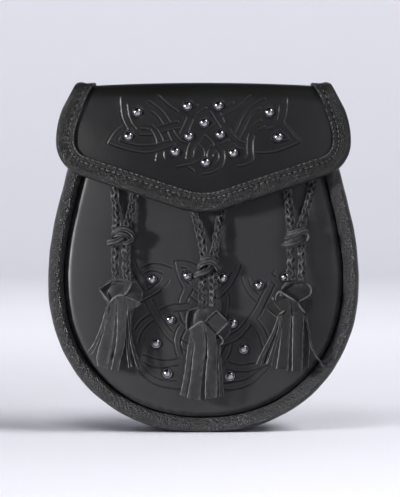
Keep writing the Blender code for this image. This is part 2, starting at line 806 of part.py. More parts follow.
def make_strip(name, x, top, row):
    """One strip of the fringe: a flat thong that leaves the head and falls in front of the panel."""
    root, end, width, down, root_off, end_off = row
    half = width * HEAD_HALF_WIDTH / 2
    start_z, end_z = top - TASSEL_LENGTH * STRIP_ROOT, top - TASSEL_LENGTH * down
    rings = []
    for share in STRIP_STATIONS:
        z = start_z + (end_z - start_z) * share
        across = x + HEAD_HALF_WIDTH * (root + (end - root) * share**STRIP_BEND)
        off = THONG_DIAMETER * (root_off + (end_off - root_off) * share)
        y = panel_y(x, z) - off
        spread = half * (STRIP_ROOT_WIDTH + (1 - STRIP_ROOT_WIDTH) * share)
        back = y + STRIP_LEATHER
        rings.append([
            (across - spread, y, z),
            (across + spread, y, z),
            (across + spread, back, z),
            (across - spread, back, z),
        ])
    bm = bmesh.new()
    bridge_rings(bm, rings)
    return add_object(name, bm, "thong_leather")


def make_tassel(side, tassel):
    """The woven head with its fringe, fused into one solid."""
    x, top, height = tassel["across"] * BODY_HALF_WIDTH, tassel["top"], tassel["head"] * TASSEL_LENGTH
    off = THONG_DIAMETER * THONG_ROUTES[f"thong_{side}_a"][-1][2]
    bm = bmesh.new()
    rings = []
    for down, wide, deep in HEAD_SECTIONS:
        z = top - height * down
        y = panel_y(x, z) - off
        ring = []
        for i in range(HEAD_SIDES):
            angle = 2 * math.pi * (i + 0.5) / HEAD_SIDES
            across = x + HEAD_HALF_WIDTH * wide * math.cos(angle)
            ring.append((across, y + HEAD_HALF_DEPTH * deep * math.sin(angle), z))
        rings.append(ring)
    bridge_rings(bm, rings)
    obj = add_object(f"tassel_{side}", bm, "thong_leather")
    for i, row in enumerate(FRINGE[side]):
        strip = make_strip(f"strip_{side}_{i}", x, top, row)
        strip.hide_render = True
        strip.display_type = "WIRE"
        join = obj.modifiers.new(f"strip {i}", "BOOLEAN")
        join.operation = "UNION"
        join.solver = "EXACT"
        join.object = strip
    return obj


def make_thong_bar():
    """The hidden bar across the panel's top that the thongs come out of."""
    rings = []
    for i in range(BAR_STEPS + 1):
        x = BAR_HALF_LENGTH * (2 * i / BAR_STEPS - 1)
        low, high = BAR_HEIGHT - BAR_WIDTH / 2, BAR_HEIGHT + BAR_WIDTH / 2
        rings.append([
            on_panel(x, low, BAR_CLEARANCE),
            on_panel(x, low, BAR_CLEARANCE + BAR_THICKNESS),
            on_panel(x, high, BAR_CLEARANCE + BAR_THICKNESS),
            on_panel(x, high, BAR_CLEARANCE),
        ])
    bm = bmesh.new()
    bridge_rings(bm, rings)
    return add_object("thong_bar", bm, "soft_leather")


def make_press_stud():
    """The hidden press stud between the flap's point and the panel."""
    height = BAR_HEIGHT - PRESS_STUD_DROP
    face = on_panel(0.0, height, 3 * GAP)
    under = flap_point(0.0, walk_at_height(height), -LEATHER / 2 - 3 * GAP)
    length = face.y - under.y
    bm = bmesh.new()
    bmesh.ops.create_cone(
        bm,
        cap_ends=True,
        segments=PRESS_STUD_SIDES,
        radius1=PRESS_STUD_RADIUS,
        radius2=PRESS_STUD_RADIUS,
        depth=length,
    )
    obj = add_object("press_stud", bm, "press_stud_metal")
    obj.rotation_euler = (math.radians(90), 0, 0)
    obj.location = (face + under) / 2
    return obj


def make_belt_loop(name, x):
    """A plain strap sewn down at both ends, which leaves a tunnel for the belt."""
    foot = BACK_FACE + GAP + LOOP_LEATHER / 2
    low, high = LOOP_HEIGHT - LOOP_LENGTH / 2, LOOP_HEIGHT + LOOP_LENGTH / 2
    slant = LOOP_RISE * LOOP_SLANT
    corners = (
        (foot, low),
        (foot, low + LOOP_FOOT),
        (foot + LOOP_RISE, low + LOOP_FOOT + slant),
        (foot + LOOP_RISE, high - LOOP_FOOT - slant),
        (foot, high - LOOP_FOOT),
        (foot, high),
    )
    line = rounded_path(corners, (LOOP_CORNER_RADIUS,) * 4, LOOP_CORNER_STEPS)
    bm = bmesh.new()
    rings = [[(x + side * LOOP_WIDTH / 2, p.x, p.y) for p in line] for side in (-1, 1)]
    bridge_rings(bm, rings, closed_section=False)
    obj = add_object(name, bm, "panel_leather")
    solidify(obj, LOOP_LEATHER, 0.0)
    return obj


def main():
    clear_scene()
    make_back_panel()
    make_front_panel()
    make_rim_roll()
    make_gusset()
    make_flap()
    make_flap_binding()
    make_studs()
    for name in THONG_ROUTES:
        make_thong(name)
    for side, tassel in TASSELS.items():
        make_knot(side, tassel)
        make_tassel(side, tassel)
    make_thong_bar()
    make_press_stud()
    make_belt_loop("belt_loop_left", -LOOP_SPACING / 2)
    make_belt_loop("belt_loop_right", LOOP_SPACING / 2)


main()
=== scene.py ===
# %% [markdown]
# # A leather sporran pouch
# The pouch is worn in front of a kilt: a hollow leather bag with a padded rolled rim, a pressed and studded front,
# a flap folded over the top, and three pairs of braided thongs that end in woven tassels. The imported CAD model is
# loaded first and stays as it is. Every soft piece is then modelled again at the same place with its real detail.

import math

import bpy
import numpy as np
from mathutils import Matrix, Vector


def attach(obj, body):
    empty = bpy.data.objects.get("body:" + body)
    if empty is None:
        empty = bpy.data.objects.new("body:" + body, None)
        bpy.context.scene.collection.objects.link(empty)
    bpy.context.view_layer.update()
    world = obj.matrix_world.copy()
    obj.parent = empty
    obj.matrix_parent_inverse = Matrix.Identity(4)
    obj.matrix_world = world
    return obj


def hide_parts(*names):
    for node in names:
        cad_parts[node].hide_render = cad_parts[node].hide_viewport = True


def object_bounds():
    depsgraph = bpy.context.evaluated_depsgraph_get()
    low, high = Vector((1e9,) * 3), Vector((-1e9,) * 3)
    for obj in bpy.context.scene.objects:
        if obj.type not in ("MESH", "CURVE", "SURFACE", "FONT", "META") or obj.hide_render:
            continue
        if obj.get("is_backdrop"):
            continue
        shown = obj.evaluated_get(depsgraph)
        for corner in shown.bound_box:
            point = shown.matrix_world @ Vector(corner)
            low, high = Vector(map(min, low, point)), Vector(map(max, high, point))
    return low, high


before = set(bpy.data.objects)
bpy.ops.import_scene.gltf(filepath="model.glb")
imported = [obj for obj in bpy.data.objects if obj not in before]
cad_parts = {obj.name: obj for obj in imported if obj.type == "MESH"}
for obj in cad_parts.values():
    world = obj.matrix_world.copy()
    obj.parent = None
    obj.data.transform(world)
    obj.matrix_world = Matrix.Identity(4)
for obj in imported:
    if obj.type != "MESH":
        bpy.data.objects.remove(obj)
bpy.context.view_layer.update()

# %% [markdown]
# ## The camera
# The photograph looks straight at the front from a little above. One pixel is 0.575 mm on the pouch's front, so the
# long side of the picture, 497 pixels, is 286 mm there. A long lens keeps the outline free of perspective.

# %% Place the camera
PIXEL = 0.000575
FRONT_PLANE = -0.015
CAMERA_DISTANCE = 1.4
CAMERA_LIFT = math.radians(2.5)
LONG_SIDE = 497 * PIXEL
aim = Vector((-0.0020, FRONT_PLANE, 0.1056))
camera_data = bpy.data.cameras.new("camera")
camera_data.sensor_width = 36.0
camera_data.lens = 36.0 * CAMERA_DISTANCE / LONG_SIDE
camera = bpy.data.objects.new("camera", camera_data)
bpy.context.scene.collection.objects.link(camera)
back = Vector((0.0, -math.cos(CAMERA_LIFT), math.sin(CAMERA_LIFT)))
camera.location = aim + back * CAMERA_DISTANCE
camera.rotation_euler = (-back).to_track_quat("-Z", "Y").to_euler()
bpy.context.scene.camera = camera
print("lens in mm:", round(camera_data.lens, 1))

# %% [markdown]
# ## The pouch's own form
# The pieces share one form: a rounded base that sweeps in to a neck, thinner at the mouth than at the foot, with a
# front panel crowned like a shallow cushion. These functions give that form for whole arrays of points at once.

# %% Sizes and form of the body
MM = 0.001
BODY_HALF_WIDTH, WIDEST_HEIGHT, BASE_POWER, SETTLE = 0.090, 0.0875, 2.15, 0.0011
NECK_HALF_WIDTH, NECK_HEIGHT, MOUTH_HEIGHT, BACK_HEIGHT = 0.073, 0.193, 0.178, 0.1865
DEPTH_AT_FOOT, DEPTH_AT_MOUTH, BACK_FACE = 0.040, 0.022, 0.020
LEATHER, ROLL_WIDTH, ROLL_DEPTH = 0.0022, 0.0090, 0.0105
PANEL_SINK, PANEL_CROWN, PANEL_EDGE_DROP, PANEL_EDGE_SHARE = 0.0044, 0.0040, 0.0022, 0.955
PANEL_INSET = ROLL_WIDTH + 0.0005


def crest(z):
    return BACK_FACE - DEPTH_AT_FOOT - (DEPTH_AT_MOUTH - DEPTH_AT_FOOT) * z / MOUTH_HEIGHT


def half_width(z):
    share = np.clip((z - WIDEST_HEIGHT) / (NECK_HEIGHT - WIDEST_HEIGHT), 0.0, 1.0)
    return NECK_HALF_WIDTH + (BODY_HALF_WIDTH - NECK_HALF_WIDTH) * (1 + np.cos(np.pi * share)) / 2


def panel_y(x, z):
    x, z = np.asarray(x, float), np.asarray(z, float)
    across, down = BODY_HALF_WIDTH - PANEL_INSET, WIDEST_HEIGHT + SETTLE - PANEL_INSET
    upper = np.abs(x) / (half_width(z) - PANEL_INSET)
    lower = np.abs(x / across) ** BASE_POWER + np.abs((z - WIDEST_HEIGHT) / down) ** BASE_POWER
    spread = np.minimum(np.where(z >= WIDEST_HEIGHT, upper, lower ** (1 / BASE_POWER)), 1.0)
    turned = np.maximum(0.0, spread - PANEL_EDGE_SHARE) / (1 - PANEL_EDGE_SHARE)
    return crest(z) + PANEL_SINK - PANEL_CROWN * (1 - spread**4) + PANEL_EDGE_DROP * turned**2


def body_outline(inset, top, upper_steps=60, lower_steps=180):
    """Points (x, z) of the pouch's outline from its left top round the base to its right top."""
    z = top + (WIDEST_HEIGHT - top) * np.arange(upper_steps) / upper_steps
    side = np.stack([half_width(z) - inset, z], axis=1)
    angle = np.pi * np.arange(lower_steps + 1) / lower_steps
    c, s = np.cos(angle), np.maximum(np.sin(angle), 0.0)
    x = -(BODY_HALF_WIDTH - inset) * np.sign(c) * np.abs(c) ** (2 / BASE_POWER)
    z = WIDEST_HEIGHT - (WIDEST_HEIGHT + SETTLE - inset) * s ** (2 / BASE_POWER)
    return np.concatenate([side * (-1, 1), np.stack([x, z], axis=1), side[::-1]])


def directions(points):
    """The unit direction of a line at each of its points."""
    along = np.gradient(np.asarray(points, float), axis=0)
    return along / np.linalg.norm(along, axis=1, keepdims=True)


def smooth_line(points, step, closed=False):
    """Points every step along a smooth curve through the given ones, which may close on itself."""
    points = np.asarray(points, float)
    if closed:
        points = np.concatenate([points, points[:1]])
        ends = np.concatenate([points[-2:-1], points, points[1:2]])
    else:
        ends = np.concatenate([[2 * points[0] - points[1]], points, [2 * points[-1] - points[-2]]])
    fine = []
    for a, b, c, d in zip(ends, ends[1:], ends[2:], ends[3:]):
        for t in np.arange(16) / 16:
            fine.append((2 * b + (c - a) * t + (2 * a - 5 * b + 4 * c - d) * t**2 + (3 * b - a - 3 * c + d) * t**3) / 2)
    fine.append(points[-1])
    return even_line(fine, step)


def even_line(points, step):
    """The same line with its points an even step apart."""
    points = np.asarray(points, float)
    marks = np.concatenate([[0.0], np.cumsum(np.linalg.norm(np.diff(points, axis=0), axis=1))])
    count = max(2, round(marks[-1] / step))
    wanted = np.linspace(0.0, marks[-1], count + 1)
    return np.stack([np.interp(wanted, marks, column) for column in points.T], axis=1)


def from_photo(px, py):
    """The place across and up, in metres, of a pixel of the photograph on the pouch's front."""
    return (px - 203.5) * PIXEL, (432.2 - py) * PIXEL


print("widest", 2000 * half_width(WIDEST_HEIGHT), "mm, panel's middle at y =", round(1000 * float(panel_y(0, 0.09)), 1))

# %% [markdown]
# ## Node groups that several finishes share
# Leather is told apart by its grain. Soft leather has small raised pebbles between fine valleys, smooth leather only
# pores, and both have creases where they bend and a polish where hands and cloth rub them. Each of these effects is
# one node group, so every material can place it with its own values.

# %% Helpers for nodes
def add_node(tree, kind, inputs=None, **settings):
    node = tree.nodes.new(kind)
    for name, value in settings.items():
        setattr(node, name, value)
    for name, value in (inputs or {}).items():
        if isinstance(value, bpy.types.NodeSocket):
            tree.links.new(value, node.inputs[name])
        else:
            node.inputs[name].default_value = value
    return node


def sums(tree, operation, first, second):
    return add_node(tree, "ShaderNodeMath", {0: first, 1: second}, operation=operation).outputs[0]


def stretch(tree, value, low, high, new_low=0.0, new_high=1.0):
    inputs = {"Value": value, "From Min": low, "From Max": high, "To Min": new_low, "To Max": new_high}
    return add_node(tree, "ShaderNodeMapRange", inputs).outputs["Result"]


def new_group(name, inputs, outputs):
    group = bpy.data.node_groups.new(name, "ShaderNodeTree")
    for socket, (kind, value) in inputs.items():
        made = group.interface.new_socket(socket, in_out="INPUT", socket_type=kind)
        if value is not None:
            made.default_value = value
    for socket in outputs:
        group.interface.new_socket(socket, in_out="OUTPUT", socket_type="NodeSocketFloat")
    start, end = group.nodes.new("NodeGroupInput"), group.nodes.new("NodeGroupOutput")
    return group, start, end


FLOAT, VECTOR = "NodeSocketFloat", "NodeSocketVector"

# %% Pebbled grain: raised cells of leather between fine valleys, and a mask for the shade painted into the valleys
pebbles, start, end = new_group(
    "pebbled grain", {"Vector": (VECTOR, None), "Cells per metre": (FLOAT, 900.0), "Waver": (FLOAT, 0.35)}, ["Height", "Valley shade"]
)
waver = add_node(pebbles, "ShaderNodeTexNoise", {"Vector": start.outputs["Vector"], "Scale": 260.0, "Detail": 2.0})
moved = add_node(pebbles, "ShaderNodeVectorMath", {0: waver.outputs["Color"], 1: (0.5, 0.5, 0.5)}, operation="SUBTRACT")
moved = add_node(pebbles, "ShaderNodeVectorMath", {0: moved.outputs[0], 1: (0.003, 0.003, 0.003)}, operation="MULTIPLY")
moved = add_node(pebbles, "ShaderNodeVectorMath", {0: moved.outputs[0], "Scale": start.outputs["Waver"]}, operation="SCALE")
moved = add_node(pebbles, "ShaderNodeVectorMath", {0: start.outputs["Vector"], 1: moved.outputs[0]}, operation="ADD")
cells = add_node(
    pebbles, "ShaderNodeTexVoronoi", {"Vector": moved.outputs[0], "Scale": start.outputs["Cells per metre"]}, feature="DISTANCE_TO_EDGE"
)
small = add_node(pebbles, "ShaderNodeMath", {0: start.outputs["Cells per metre"], 1: 2.7}, operation="MULTIPLY")
pores = add_node(pebbles, "ShaderNodeTexNoise", {"Vector": start.outputs["Vector"], "Scale": small.outputs[0], "Detail": 3.0})
raised = stretch(pebbles, cells.outputs["Distance"], 0.0, 0.28)
raised = sums(pebbles, "POWER", raised, 0.6)
height = sums(pebbles, "ADD", raised, sums(pebbles, "MULTIPLY", pores.outputs[0], 0.35))
pebbles.links.new(height, end.inputs["Height"])
# The second output marks the valleys, which the materials darken as painted shade.
pebbles.links.new(stretch(pebbles, cells.outputs["Distance"], 0.0, 0.09, 1.0, 0.0), end.inputs["Valley shade"])

# %% Pores: the almost smooth surface of pressed leather
pore_group, start, end = new_group("leather pores", {"Vector": (VECTOR, None), "Scale": (FLOAT, 2200.0)}, ["Height", "Cloud"])
fine = add_node(pore_group, "ShaderNodeTexNoise", {"Vector": start.outputs["Vector"], "Scale": start.outputs["Scale"], "Detail": 4.0, "Roughness": 0.62})
pits = add_node(pore_group, "ShaderNodeTexVoronoi", {"Vector": start.outputs["Vector"], "Scale": start.outputs["Scale"]}, feature="F1")
pit = stretch(pore_group, pits.outputs["Distance"], 0.0, 0.35)
cloud = add_node(pore_group, "ShaderNodeTexNoise", {"Vector": start.outputs["Vector"], "Scale": 38.0, "Detail": 3.0, "Roughness": 0.55})
pore_group.links.new(sums(pore_group, "ADD", sums(pore_group, "MULTIPLY", fine.outputs[0], 0.7), sums(pore_group, "MULTIPLY", pit, 0.3)), end.inputs["Height"])
pore_group.links.new(stretch(pore_group, cloud.outputs[0], 0.32, 0.68), end.inputs["Cloud"])

# %% Creases: folds that run one way, long in the first direction of the vector and close together in the second
crease_group, start, end = new_group(
    "leather creases", {"Vector": (VECTOR, None), "Along": (FLOAT, 90.0), "Across": (FLOAT, 520.0)}, ["Height"]
)
size = add_node(crease_group, "ShaderNodeCombineXYZ", {"X": start.outputs["Along"], "Y": start.outputs["Across"], "Z": start.outputs["Across"]})
scaled = add_node(crease_group, "ShaderNodeVectorMath", {0: start.outputs["Vector"], 1: size.outputs[0]}, operation="MULTIPLY")
folds = add_node(crease_group, "ShaderNodeTexNoise", {"Vector": scaled.outputs[0], "Scale": 1.0, "Detail": 3.0, "Roughness": 0.5, "Distortion": 0.6})
crease_group.links.new(stretch(crease_group, folds.outputs[0], 0.3, 0.7), end.inputs["Height"])

# %% Rubbed edges: the polish on the ridges of a piece, and a paler tone there that is partly wear and partly painted highlight
wear_and_highlight_group, start, end = new_group("rubbed edges and painted highlights", {"Vector": (VECTOR, None), "Reach": (FLOAT, 0.04)}, ["Rubbed"])
geometry = add_node(wear_and_highlight_group, "ShaderNodeNewGeometry")
above = sums(wear_and_highlight_group, "ADD", 0.5, sums(wear_and_highlight_group, "MULTIPLY", start.outputs["Reach"], 0.25))
top = sums(wear_and_highlight_group, "ADD", 0.5, start.outputs["Reach"])
ridge = add_node(wear_and_highlight_group, "ShaderNodeMapRange", {"Value": geometry.outputs["Pointiness"], "From Min": above, "From Max": top})
patchy = add_node(wear_and_highlight_group, "ShaderNodeTexNoise", {"Vector": start.outputs["Vector"], "Scale": 300.0, "Detail": 3.0})
rubbed = sums(wear_and_highlight_group, "MULTIPLY", ridge.outputs[0], stretch(wear_and_highlight_group, patchy.outputs[0], 0.35, 0.6))
wear_and_highlight_group.links.new(rubbed, end.inputs["Rubbed"])
print("node groups:", [g.name for g in bpy.data.node_groups])

# %% [markdown]
# ## The leathers
# All the leather is dyed black, but three kinds show. The front, the flap and the back are smooth calf with fine
# pores, the rim and the binding are softer and pebbled, and the thongs are matt with a paler cut edge. One function
# places the groups in a new material, because only the values differ.

# %% A leather material
def leather(name, colour, pale, roughness, grain, bump, crease=0.0, crease_scale=(90.0, 520.0), turn=0.0, cells=900.0, rub=0.5, gloss=0.5, pressed=0.0):
    made = bpy.data.materials.new(name)
    made.use_nodes = True
    tree = made.node_tree
    shader = tree.nodes["Principled BSDF"]
    where = add_node(tree, "ShaderNodeTexCoord").outputs["Object"]
    pore = add_node(tree, "ShaderNodeGroup", node_tree=pore_group)
    tree.links.new(where, pore.inputs["Vector"])
    worn = add_node(tree, "ShaderNodeGroup", node_tree=wear_and_highlight_group)
    tree.links.new(where, worn.inputs["Vector"])
    dark = tuple(0.72 * c for c in colour)
    tone = add_node(tree, "ShaderNodeMix", {"Factor": pore.outputs["Cloud"], "A": (*dark, 1.0), "B": (*colour, 1.0)}, data_type="RGBA")
    tone_out = tone.outputs[2]
    height = pore.outputs["Height"]
    if grain == "pebbled":
        pebble = add_node(tree, "ShaderNodeGroup", {}, node_tree=pebbles)
        tree.links.new(where, pebble.inputs["Vector"])
        pebble.inputs["Cells per metre"].default_value = cells
        height = pebble.outputs["Height"]
        # Painted shade: the valleys between the pebbles are darkened in the colour.
        valley_shade = sums(tree, "MULTIPLY", pebble.outputs["Valley shade"], 0.55)
        darker = add_node(tree, "ShaderNodeMix", {"Factor": valley_shade, "A": tone_out, "B": (*(0.35 * c for c in colour), 1.0)}, data_type="RGBA")
        tone_out = darker.outputs[2]
    if crease:
        wrap = add_node(tree, "ShaderNodeUVMap", uv_map="wrap")
        turned = add_node(tree, "ShaderNodeMapping", {"Vector": wrap.outputs[0], "Rotation": (0.0, 0.0, turn)})
        folds = add_node(tree, "ShaderNodeGroup", node_tree=crease_group)
        tree.links.new(turned.outputs[0], folds.inputs["Vector"])
        folds.inputs["Along"].default_value, folds.inputs["Across"].default_value = crease_scale
        height = sums(tree, "ADD", height, sums(tree, "MULTIPLY", folds.outputs["Height"], crease))
    # Painted shade: the pressed grooves and the dimples round the studs are darkened towards black by how deep they
    # lie.
    if pressed:
        sunk = add_node(tree, "ShaderNodeAttribute", attribute_name="pressed")
        groove_shade = sums(tree, "MULTIPLY", sunk.outputs["Fac"], pressed)
        painted_groove_shade = add_node(tree, "ShaderNodeMix", {"Factor": groove_shade, "A": tone_out, "B": (0.002, 0.002, 0.002, 1.0)}, data_type="RGBA")
        tone_out = painted_groove_shade.outputs[2]
    # The ridges turn paler: partly rubbed wear, partly a painted highlight along the lips beside the pressed lines.
    rubbed = sums(tree, "MULTIPLY", worn.outputs["Rubbed"], rub)
    paler = add_node(tree, "ShaderNodeMix", {"Factor": rubbed, "A": tone_out, "B": (*pale, 1.0)}, data_type="RGBA")
    tree.links.new(paler.outputs[2], shader.inputs["Base Color"])
    sheen = stretch(tree, pore.outputs["Cloud"], 0.0, 1.0, roughness + 0.05, roughness - 0.05)
    tree.links.new(sums(tree, "SUBTRACT", sheen, sums(tree, "MULTIPLY", rubbed, 0.15)), shader.inputs["Roughness"])
    relief = add_node(tree, "ShaderNodeBump", {"Height": height, "Strength": 1.0, "Distance": bump})
    tree.links.new(relief.outputs[0], shader.inputs["Normal"])
    shader.inputs["Specular IOR Level"].default_value = gloss
    return made


# The front and the flap are one leather: the front's colour is painted lighter and the flap's darker, as painted light
# and shade.
flap_leather_painted_shade = leather("pressed_flap_leather", (0.0046, 0.0045, 0.0048), (0.04, 0.04, 0.041), 0.40, "smooth", 0.00008, rub=0.2, gloss=0.42, pressed=0.75)
front_leather_painted_light = leather("pressed_front_leather", (0.0300, 0.0295, 0.0305), (0.08, 0.08, 0.082), 0.40, "smooth", 0.00006, rub=0.30, gloss=0.29, pressed=0.85)
panel_leather = leather("plain_leather", (0.0145, 0.0142, 0.0148), (0.06, 0.06, 0.062), 0.42, "smooth", 0.00008, rub=0.35)
# The rim and the binding are one soft leather: the rim's colour is painted lighter and the binding's darker, as painted
# light and shade.
rim_leather_painted_light = leather(
    "padded_rim_leather", (0.038, 0.0375, 0.0385), (0.09, 0.09, 0.093), 0.37, "pebbled", 0.00070, crease=1.6, crease_scale=(150.0, 560.0), turn=0.9, cells=720.0, rub=0.25
)
binding_leather_painted_shade = leather("soft_binding_leather", (0.0060, 0.0059, 0.0062), (0.07, 0.07, 0.072), 0.44, "pebbled", 0.00022, cells=1000.0, rub=0.3, gloss=0.30)
side_leather = leather(
    "side_wall_leather", (0.014, 0.0137, 0.0143), (0.06, 0.06, 0.06), 0.50, "pebbled", 0.00024, crease=1.0, crease_scale=(420.0, 70.0), cells=850.0
)
thong_leather = leather("thong_leather", (0.013, 0.0127, 0.0133), (0.07, 0.07, 0.072), 0.55, "smooth", 0.00014, rub=0.6, gloss=0.28)
thong_edge = leather("thong_cut_edge", (0.055, 0.055, 0.057), (0.12, 0.12, 0.123), 0.60, "smooth", 0.00014, rub=0.6, gloss=0.3)
cut_edge = leather("cut_leather_edge", (0.105, 0.105, 0.108), (0.18, 0.18, 0.184), 0.62, "smooth", 0.00020, rub=0.6, gloss=0.3)
# The three tassels are one leather: the left one's colour is painted lighter and the right one's darker, as painted
# light and shade.
strip_leathers_painted_light_and_shade = {
    side: leather(f"tassel_leather_painted_light_and_shade_{side}", (tone, tone, 1.03 * tone), (4.0 * tone, 4.0 * tone, 4.1 * tone), 0.54, "pebbled", 0.00026, cells=1500.0, rub=0.4, gloss=0.33)
    for side, tone in (("left", 0.028), ("centre", 0.024), ("right", 0.0095))
}
thread = leather("waxed_thread", (0.034, 0.034, 0.035), (0.16, 0.16, 0.165), 0.34, "smooth", 0.00012, rub=0.8)
print("leathers and thread:", len(bpy.data.materials))

# %% [markdown]
# ## The metal
# The studs are polished domes with faint rubbing marks, so their roughness varies a little over the surface.

# %% Polished and plain metal
def metal(name, colour, roughness, marks):
    made = bpy.data.materials.new(name)
    made.use_nodes = True
    tree = made.node_tree
    shader = tree.nodes["Principled BSDF"]
    where = add_node(tree, "ShaderNodeTexCoord").outputs["Object"]
    noise = add_node(tree, "ShaderNodeTexNoise", {"Vector": where, "Scale": 900.0, "Detail": 4.0})
    tone = add_node(tree, "ShaderNodeMix", {"Factor": noise.outputs[0], "A": (*(0.86 * c for c in colour), 1.0), "B": (*colour, 1.0)}, data_type="RGBA")
    tree.links.new(tone.outputs[2], shader.inputs["Base Color"])
    shader.inputs["Metallic"].default_value = 1.0
    tree.links.new(stretch(tree, noise.outputs[0], 0.3, 0.7, roughness, roughness + marks), shader.inputs["Roughness"])
    relief = add_node(tree, "ShaderNodeBump", {"Height": noise.outputs[0], "Strength": 1.0, "Distance": 0.000004})
    tree.links.new(relief.outputs[0], shader.inputs["Normal"])
    return made


chrome = metal("polished_stud", (0.40, 0.40, 0.415), 0.08, 0.08)
plain_metal = metal("plain_press_stud", (0.34, 0.34, 0.35), 0.30, 0.12)
for node, finish in (("thong_bar", side_leather), ("press_stud", plain_metal)):
    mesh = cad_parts[node].data
    mesh.materials.clear()
    mesh.materials.append(finish)
print("materials:", len(bpy.data.materials))

# %% [markdown]
# ## How a finished piece joins the scene
# A piece lies at the origin with its place in its mesh, rides on the one body, takes its materials and hides the
# CAD solids that it stands for.

# %% Helpers for pieces
def deselect():
    if bpy.context.object and bpy.context.object.mode != "OBJECT":
        bpy.ops.object.mode_set(mode="OBJECT")
    bpy.ops.object.select_all(action="DESELECT")


def pick(obj):
    deselect()
    obj.select_set(True)
    bpy.context.view_layer.objects.active = obj


def face_outwards(obj):
    pick(obj)
    bpy.ops.object.mode_set(mode="EDIT")
    bpy.ops.mesh.select_all(action="SELECT")
    bpy.ops.mesh.normals_make_consistent(inside=False)
    bpy.ops.object.mode_set(mode="OBJECT")


def finish_piece(obj, materials, nodes=(), angle=40.0):
    pick(obj)
    for finish in materials:
        obj.data.materials.append(finish)
    bpy.ops.object.shade_smooth_by_angle(angle=math.radians(angle))
    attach(obj, "root")
    if nodes:
        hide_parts(*nodes)
    obj.data.calc_loop_triangles()
    print(obj.name, "has", len(obj.data.loop_triangles), "triangles")
    return obj


def apply_modifiers(obj):
    pick(obj)
    for modifier in list(obj.modifiers):
        bpy.ops.object.modifier_apply(modifier=modifier.name)


def tube_piece(name, tubes, edge_sides=(), capped=True):
    """One mesh from several tubes, each a row of rings of points. Its map "wrap" holds metres along and round."""
    points, faces, uvs, slots, base = [], [], [], [], 0
    for rings in tubes:
        rings = np.asarray(rings, float)
        n, m, _ = rings.shape
        centres = rings.mean(axis=1)
        along = np.concatenate([[0.0], np.cumsum(np.linalg.norm(np.diff(centres, axis=0), axis=1))])
        middle = rings[n // 2]
        around = np.concatenate([[0.0], np.cumsum(np.linalg.norm(np.roll(middle, -1, axis=0) - middle, axis=1))])
        points.append(rings.reshape(-1, 3))
        for i in range(n - 1):
            for k in range(m):
                j = (k + 1) % m
                faces.append((base + i * m + k, base + i * m + j, base + (i + 1) * m + j, base + (i + 1) * m + k))
                uvs += [(along[i], around[k]), (along[i], around[k + 1]), (along[i + 1], around[k + 1]), (along[i + 1], around[k])]
                slots.append(1 if k in edge_sides else 0)
        if capped:
            for row, order in ((0, -1), (n - 1, 1)):
                faces.append(tuple(base + row * m + k for k in range(m))[::order])
                uvs += [(along[row], around[k]) for k in range(m)][::order]
                slots.append(1 if edge_sides else 0)
        base += n * m
    mesh = bpy.data.meshes.new(name)
    mesh.from_pydata(np.concatenate(points).tolist(), [], faces)
    layer = mesh.uv_layers.new(name="wrap")
    layer.data.foreach_set("uv", np.asarray(uvs, float).reshape(-1))
    mesh.polygons.foreach_set("material_index", slots)
    obj = bpy.data.objects.new(name, mesh)
    bpy.context.scene.collection.objects.link(obj)
    face_outwards(obj)
    return obj


# %% [markdown]
# ## The braided thongs
# Each tassel hangs on two cords, and each cord is a flat braid of three narrow leather strands. A braid is a simple
# rhythm: every strand swings from side to side, a third of a turn behind the last, and rises over the one that it
# meets. So the three strands are swept along the cord's line, and the lines repeat the routes of the CAD tubes.

# %% Routes of the thongs: across in shares of half the width, down from bar to head, off the panel in diameters
THONG_DIAMETER = 0.0052
THONG_TOP = 0.1535 - 0.0042 - 0.0012
HEAD_TOPS = {"left": 0.0864, "centre": 0.0714, "right": 0.0864}
THONG_ROUTES = {
    "thong_left_a": [
        (-0.589, 0.000, 0.58), (-0.575, 0.141, 0.58), (-0.564, 0.267, 0.64), (-0.558, 0.388, 0.83), (-0.558, 0.506, 1.08),
        (-0.558, 0.593, 1.20), (-0.559, 0.680, 1.25), (-0.564, 0.830, 1.38), (-0.559, 1.000, 1.54),
    ],
    "thong_left_b": [
        (-0.439, 0.000, 0.58), (-0.444, 0.141, 0.58), (-0.454, 0.267, 0.64), (-0.470, 0.388, 0.83), (-0.491, 0.506, 1.08),
        (-0.494, 0.593, 1.20), (-0.494, 0.680, 1.25), (-0.492, 0.830, 1.38), (-0.490, 1.000, 1.54),
    ],
    "thong_centre_a": [
        (-0.107, 0.000, 0.58), (-0.096, 0.150, 0.58), (-0.058, 0.300, 0.62), (-0.016, 0.460, 0.88), (0.002, 0.600, 1.13),
        (0.003, 0.664, 1.21), (0.003, 0.730, 1.27), (-0.003, 0.860, 1.40), (-0.007, 1.000, 1.54),
    ],
    "thong_centre_b": [
        (0.160, 0.000, 0.58), (0.140, 0.150, 0.58), (0.112, 0.300, 0.62), (0.088, 0.460, 0.88), (0.068, 0.600, 1.13),
        (0.067, 0.664, 1.21), (0.066, 0.730, 1.27), (0.062, 0.860, 1.40), (0.060, 1.000, 1.54),
    ],
    "thong_right_a": [
        (0.524, 0.000, 0.58), (0.533, 0.141, 0.58), (0.544, 0.267, 0.64), (0.554, 0.388, 0.83), (0.557, 0.506, 1.08),
        (0.557, 0.593, 1.20), (0.557, 0.680, 1.25), (0.562, 0.830, 1.38), (0.562, 1.000, 1.54),
    ],
    "thong_right_b": [
        (0.711, 0.000, 0.58), (0.696, 0.141, 0.58), (0.673, 0.267, 0.64), (0.647, 0.388, 0.83), (0.623, 0.506, 1.08),
        (0.621, 0.593, 1.20), (0.622, 0.680, 1.25), (0.628, 0.830, 1.38), (0.628, 1.000, 1.54),
    ],
}


